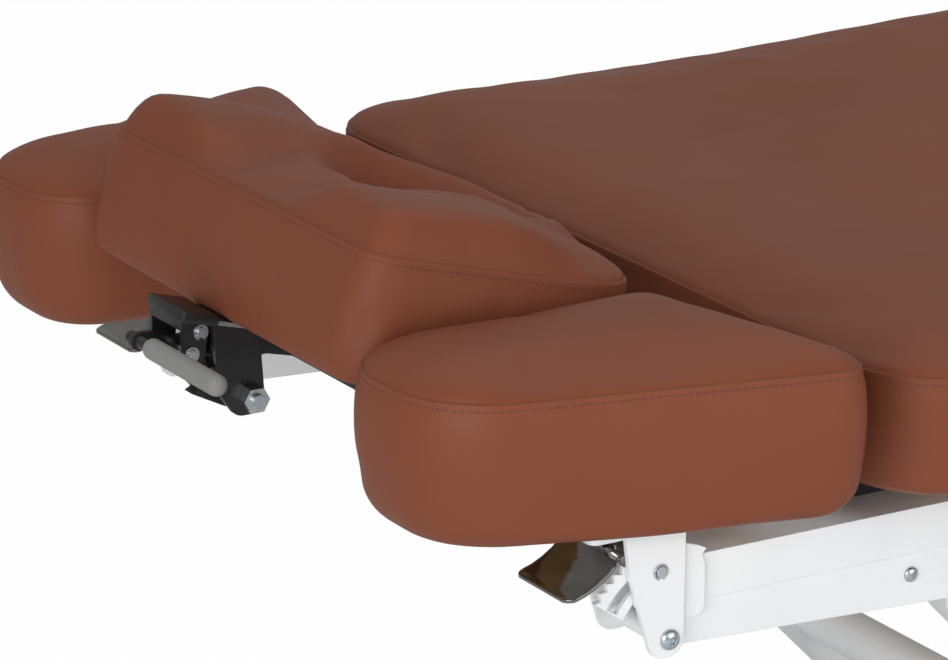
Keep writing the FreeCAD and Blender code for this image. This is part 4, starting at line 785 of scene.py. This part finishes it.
verts = [HEAD_TURN @ Vector(p) for p in verts]
head_pad = new_object("head_pad", verts, faces, FINISHES["upholstery"])
held = [g for g in grips for _ in range(count)]
stuffed(head_pad, held, 0.0035)
smoother(head_pad)
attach(head_pad, "headrest")
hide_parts("headrest_cushion")
row = np.array([HEAD_TURN @ Vector(p) for p in band_path(outer, 0.0005, -0.0057)])
stitches("head_pad_stitches", head_pad, row, "headrest")
print("headrest", len(rings), "rings of", count)

# %% [markdown]
# ## Socket screws
#
# The hinge bolts and the rail screws are button heads with a hexagon socket. A disc with a
# dark dot would do from afar, but the socket's rim catches the light. Each head is turned
# as rings about its axis: up over the dome, then the ring turns into a hexagon, goes down
# the socket and closes on its floor. The shank is the last rings on the inner side.

# %% Button-head socket screws


def lathe(rings, centre, side):
    """Closed piece from rings (radius, height, hexagonal?) about the Y direction."""
    count = 48
    verts, faces = [], []
    for radius, height, six in rings:
        for k in range(count):
            angle = 2 * math.pi * k / count
            r = radius
            if six:
                r = radius / math.cos((angle % (math.pi / 3)) - math.pi / 6)
            verts.append((centre[0] + r * math.cos(angle), centre[1] + side * height,
                          centre[2] + r * math.sin(angle)))
    for row in range(len(rings) - 1):
        faces += bridge(list(range(row * count, (row + 1) * count)),
                        list(range((row + 1) * count, (row + 2) * count)))
    faces.append(tuple(range(count)))
    faces.append(tuple(range((len(rings) - 1) * count, len(rings) * count)))
    return verts, faces


def button_rings(head, high, shank, length, flats):
    """Rings of a button-head screw, from the shank's end to the socket's floor."""
    dome = [(head * math.cos(a), high * (0.18 + 0.82 * math.sin(a)), False)
            for a in (0.0, 0.25, 0.5, 0.75, 0.95)]
    socket = [(flats * 0.62, high * 0.99, False), (flats * 0.54, high * 0.97, True),
              (flats * 0.5, high * 0.9, True), (flats * 0.5, high * 0.35, True),
              (flats * 0.2, high * 0.3, False)]
    foot = [(shank * 0.85, -length, False), (shank, -length + 0.0008, False),
            (shank, 0.0, False), (head * 0.97, 0.0, False), (head, high * 0.1, False)]
    return foot + dome + socket


def joined_piece(name, parts, material):
    """One object from several closed shells."""
    verts, faces = [], []
    for points, polygons in parts:
        faces += [tuple(i + len(verts) for i in face) for face in polygons]
        verts += points
    return new_object(name, verts, faces, material)


def crisp(item, degrees=35):
    """Smooth shading that keeps edges sharper than an angle."""
    work = bmesh.new()
    work.from_mesh(item.data)
    for edge in work.edges:
        if len(edge.link_faces) == 2 and edge.calc_face_angle() > math.radians(degrees):
            edge.smooth = False
    work.to_mesh(item.data)
    work.free()
    return item


for name, body, node, spot, sizes in (
        ("hinge_button_bolts", "top_frame", "armrest_pivot_bolts", (0.0, 0.3436, 0.0),
         (0.0072, 0.0044, 0.0040, 0.0716, 0.0048)),
        ("rail_button_screws", "top_frame", "rail_screws", (0.199, 0.3338, 0.004),
         (0.0055, 0.0034, 0.0030, 0.0431, 0.0036))):
    shells = [lathe(button_rings(*sizes), (HINGE_X + spot[0], side * spot[1], HINGE_Z + spot[2]),
                    side) for side in (-1, 1)]
    bolts = crisp(joined_piece(name, shells, FINISHES["zinc_plate"]))
    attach(bolts, body)
    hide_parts(node)
    print(name, len(bolts.data.polygons), "faces")

# %% [markdown]
# A circlip sits in a groove at the end of each lock pin. It is an open ring that ends in
# two small eyes, seen as a dark C on the white plate.

# %% Circlips
for side, hand in ((-1, "near"), (1, "far")):
    verts, faces = [], []
    spot = (PIN[0], side * 0.34445, PIN[1])
    for k in range(41):
        angle = math.radians(-70 + 320 * k / 40)
        fat = 0.0006 + 0.0005 * (k in (0, 1, 39, 40))
        for corner in range(6):
            turn_by = math.pi / 3 * corner
            r = 0.0049 + fat * math.cos(turn_by)
            verts.append((spot[0] + r * math.cos(angle), spot[1] + side * 0.0006 *
                          math.sin(turn_by), spot[2] + r * math.sin(angle)))
    for k in range(40):
        faces += bridge(list(range(6 * k, 6 * k + 6)), list(range(6 * k + 6, 6 * k + 12)))
    faces += [tuple(range(6)), tuple(range(240, 246))]
    clip = new_object(hand + "_lock_pin_circlip", verts, faces, FINISHES["zinc_plate"])
    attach(clip, hand + "_armrest")
print("circlips done")

# %% [markdown]
# ## The chrome paddles
#
# The fingers squeeze a pressed sheet with rounded corners and a hollow face, which mirrors a
# different part of its surroundings in each half. A flat plate would show a single tone. The
# sheet is swept along its side view: a shallow hollow, a fold and then the narrow
# neck that wraps the lock pin. It gets its thickness from a second skin, and the rim is
# rounded by a small bevel, because the bright line round the sheet is what one sees first.
# A sheet like this could also be made from a plane with operators. Points are computed here,
# so that the width and the turn of the sheet can change along the path.

# %% Chrome paddles
PATH = [(-0.0750, 0.0372), (-0.0690, 0.0378), (-0.0610, 0.0402), (-0.0530, 0.0440),
        (-0.0450, 0.0492), (-0.0395, 0.0540), (-0.0355, 0.0568), (-0.0310, 0.0566),
        (-0.0260, 0.0548), (-0.0200, 0.0520), (-0.0140, 0.0495)]


def along(points, where):
    """Point and length of a path at a share of its length."""
    points = np.array(points)
    run = np.concatenate([[0], np.cumsum(np.linalg.norm(np.diff(points, axis=0), axis=1))])
    x, z = [np.interp(where * run[-1], run, points[:, k]) for k in range(2)]
    return np.array([x, z]), run[-1]


def paddle_sheet(side, thick=0.0028):
    """Sheet swept along the path: two skins and their rim."""
    rows, columns = 44, 25
    top, low = [], []
    length = along(PATH, 0)[1]
    for i in range(rows + 1):
        share = i / rows
        here = share * length
        spot = along(PATH, share)[0]
        way = along(PATH, min(share + 0.02, 1.0))[0] - along(PATH, max(share - 0.02, 0.0))[0]
        way /= np.linalg.norm(way)
        rim = 0.009
        cut = rim - math.sqrt(max(rim * rim - max(rim - here - 0.0004, 0) ** 2, 0))
        narrow = min(max((here - 0.040) / 0.012, 0), 1)
        narrow = narrow * narrow * (3 - 2 * narrow)
        y0 = 0.272 + cut + 0.016 * narrow
        y1 = 0.338 - cut - 0.010 * narrow
        for j in range(columns + 1):
            y = side * (y0 + (y1 - y0) * j / columns)
            for skin, shift in ((top, thick / 2), (low, -thick / 2)):
                x, z = spot + np.array([-way[1], way[0]]) * shift
                skin.append((HINGE_X + x, y, HINGE_Z + z))
    wide = columns + 1
    total = len(top)
    faces = []
    for base in (0, total):
        faces += [(base + i * wide + j, base + i * wide + j + 1, base + (i + 1) * wide + j + 1,
                   base + (i + 1) * wide + j) for i in range(rows) for j in range(columns)]
    edge = ([j for j in range(wide)] + [i * wide + columns for i in range(1, rows + 1)]
            + [rows * wide + j for j in range(columns - 1, -1, -1)]
            + [i * wide for i in range(rows - 1, 0, -1)])
    faces += bridge(edge, [total + i for i in edge])
    return top + low, faces


def bevelled(item, offset, degrees=None):
    """Rounds all edges of a piece, or only those sharper than an angle."""
    work = bmesh.new()
    work.from_mesh(item.data)
    chosen = [e for e in work.edges if degrees is None or (
        len(e.link_faces) == 2 and e.calc_face_angle() > math.radians(degrees))]
    bmesh.ops.bevel(work, geom=chosen, offset=offset, segments=3, affect="EDGES", profile=0.5)
    bmesh.ops.recalc_face_normals(work, faces=work.faces)
    work.to_mesh(item.data)
    work.free()


for side, hand in ((-1, "near"), (1, "far")):
    hub = [(0.0045, 0.0, False), (0.0086, 0.0, False), (0.0090, 0.0005, False),
           (0.0090, 0.0435, False), (0.0086, 0.0440, False), (0.0045, 0.0440, False)]
    pawl = [(0.0026, 0.0, False), (0.0030, 0.0005, False), (0.0030, 0.0208, False),
            (0.0026, 0.0212, False)]
    parts = [paddle_sheet(side),
             lathe(hub, (PIN[0], side * 0.286, PIN[1]), side),
             lathe(pawl, (HINGE_X - 0.03164, side * 0.318, HINGE_Z + 0.05951), side)]
    paddle = joined_piece(hand + "_chrome_paddle", parts, FINISHES["chrome_lever"])
    bevelled(paddle, 0.0007, degrees=50)
    paddle.data.polygons.foreach_set("use_smooth", [True] * len(paddle.data.polygons))
    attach(paddle, hand + "_paddle")
    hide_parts(hand + "_release_paddle")
print("paddles", len(paddle.data.polygons), "faces each")

# %% [markdown]
# The end of the headrest's base plate is boxed in by a black folded flange, which the photo
# shows just under the pad, in front of the lever.

# %% Folded flange
verts = []
for u, n in ((-0.0289, -0.0939), (-0.0289, -0.0866), (-0.0008, -0.0866), (-0.0008, -0.0939)):
    for y in (-0.0267, 0.0267):
        verts.append(tuple(HEAD_TURN @ Vector((u, y, n))))
box = [(0, 1, 3, 2), (2, 3, 5, 4), (4, 5, 7, 6), (6, 7, 1, 0), (0, 2, 4, 6), (1, 7, 5, 3)]
flange = new_object("headrest_flange", verts, box, FINISHES["black_powder_coat"])
bevelled(flange, 0.0008)
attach(flange, "headrest")
print("flange", len(flange.data.polygons), "faces")

# %% [markdown]
# ## The studio
#
# The picture was taken on a white sweep with large soft lights. The side bands that face
# the camera are brighter than the tops, so the main light is low and in front, to the
# left. The background is white only for the eye: the world and the floor show plain white
# to the camera, while the lamps light the table at an ordinary level.

# %% Floor, lamps and world
floor_mesh = bpy.data.meshes.new("floor")
floor_mesh.from_pydata([(-9, -9, 0), (9, -9, 0), (9, 9, 0), (-9, 9, 0)], [], [(0, 1, 2, 3)])
floor = bpy.data.objects.new("floor", floor_mesh)
bpy.context.scene.collection.objects.link(floor)
material = bpy.data.materials.new("white_paper_sweep")
material.use_nodes = True
tree = material.node_tree
shader = tree.nodes["Principled BSDF"]
shader.inputs["Base Color"].default_value = linear("#ededed")
shader.inputs["Roughness"].default_value = 0.85
shader.inputs["Specular IOR Level"].default_value = 0.1
white = add(tree, "Emission", {"Color": (1, 1, 1, 1), "Strength": 1.0})
path = add(tree, "LightPath")
part = add(tree, "Math", {0: (path, "Is Camera Ray"), 1: 0.985}, operation="MULTIPLY")
both = add(tree, "MixShader", {0: (part, 0)})
tree.links.new(shader.outputs[0], both.inputs[1])
tree.links.new(white.outputs[0], both.inputs[2])
tree.links.new(both.outputs[0], tree.nodes["Material Output"].inputs["Surface"])
floor_mesh.materials.append(material)

world = bpy.data.worlds.new("studio")
world.use_nodes = True
bpy.context.scene.world = world
tree = world.node_tree
ground = tree.nodes["Background"]
ground.inputs["Color"].default_value = (1, 1, 1, 1)
path = add(tree, "LightPath")
level = add(tree, "MapRange", {"Value": (path, "Is Camera Ray"), "To Min": 0.42, "To Max": 1.05})
tree.links.new(level.outputs[0], ground.inputs["Strength"])


def softbox(name, place_at, aim, size, power):
    """Square soft light that looks at a point."""
    data = bpy.data.lights.new(name, "AREA")
    data.shape = "RECTANGLE"
    data.size, data.size_y = size
    data.energy = power
    lamp = bpy.data.objects.new(name, data)
    bpy.context.scene.collection.objects.link(lamp)
    lamp.location = place_at
    lamp.rotation_euler = (Vector(aim) - Vector(place_at)).to_track_quat("-Z", "Y").to_euler()
    return lamp


softbox("key", (-3.4, -2.2, 1.5), (-0.6, 0, 0.65), (2.4, 1.6), 62)
softbox("fill", (0.6, -3.6, 1.6), (0, 0, 0.6), (3.0, 2.0), 40)
softbox("top", (0.2, 0.6, 3.2), (0, 0, 0.6), (3.0, 2.4), 18)
bpy.context.scene.view_settings.view_transform = "Standard"
print("studio ready")
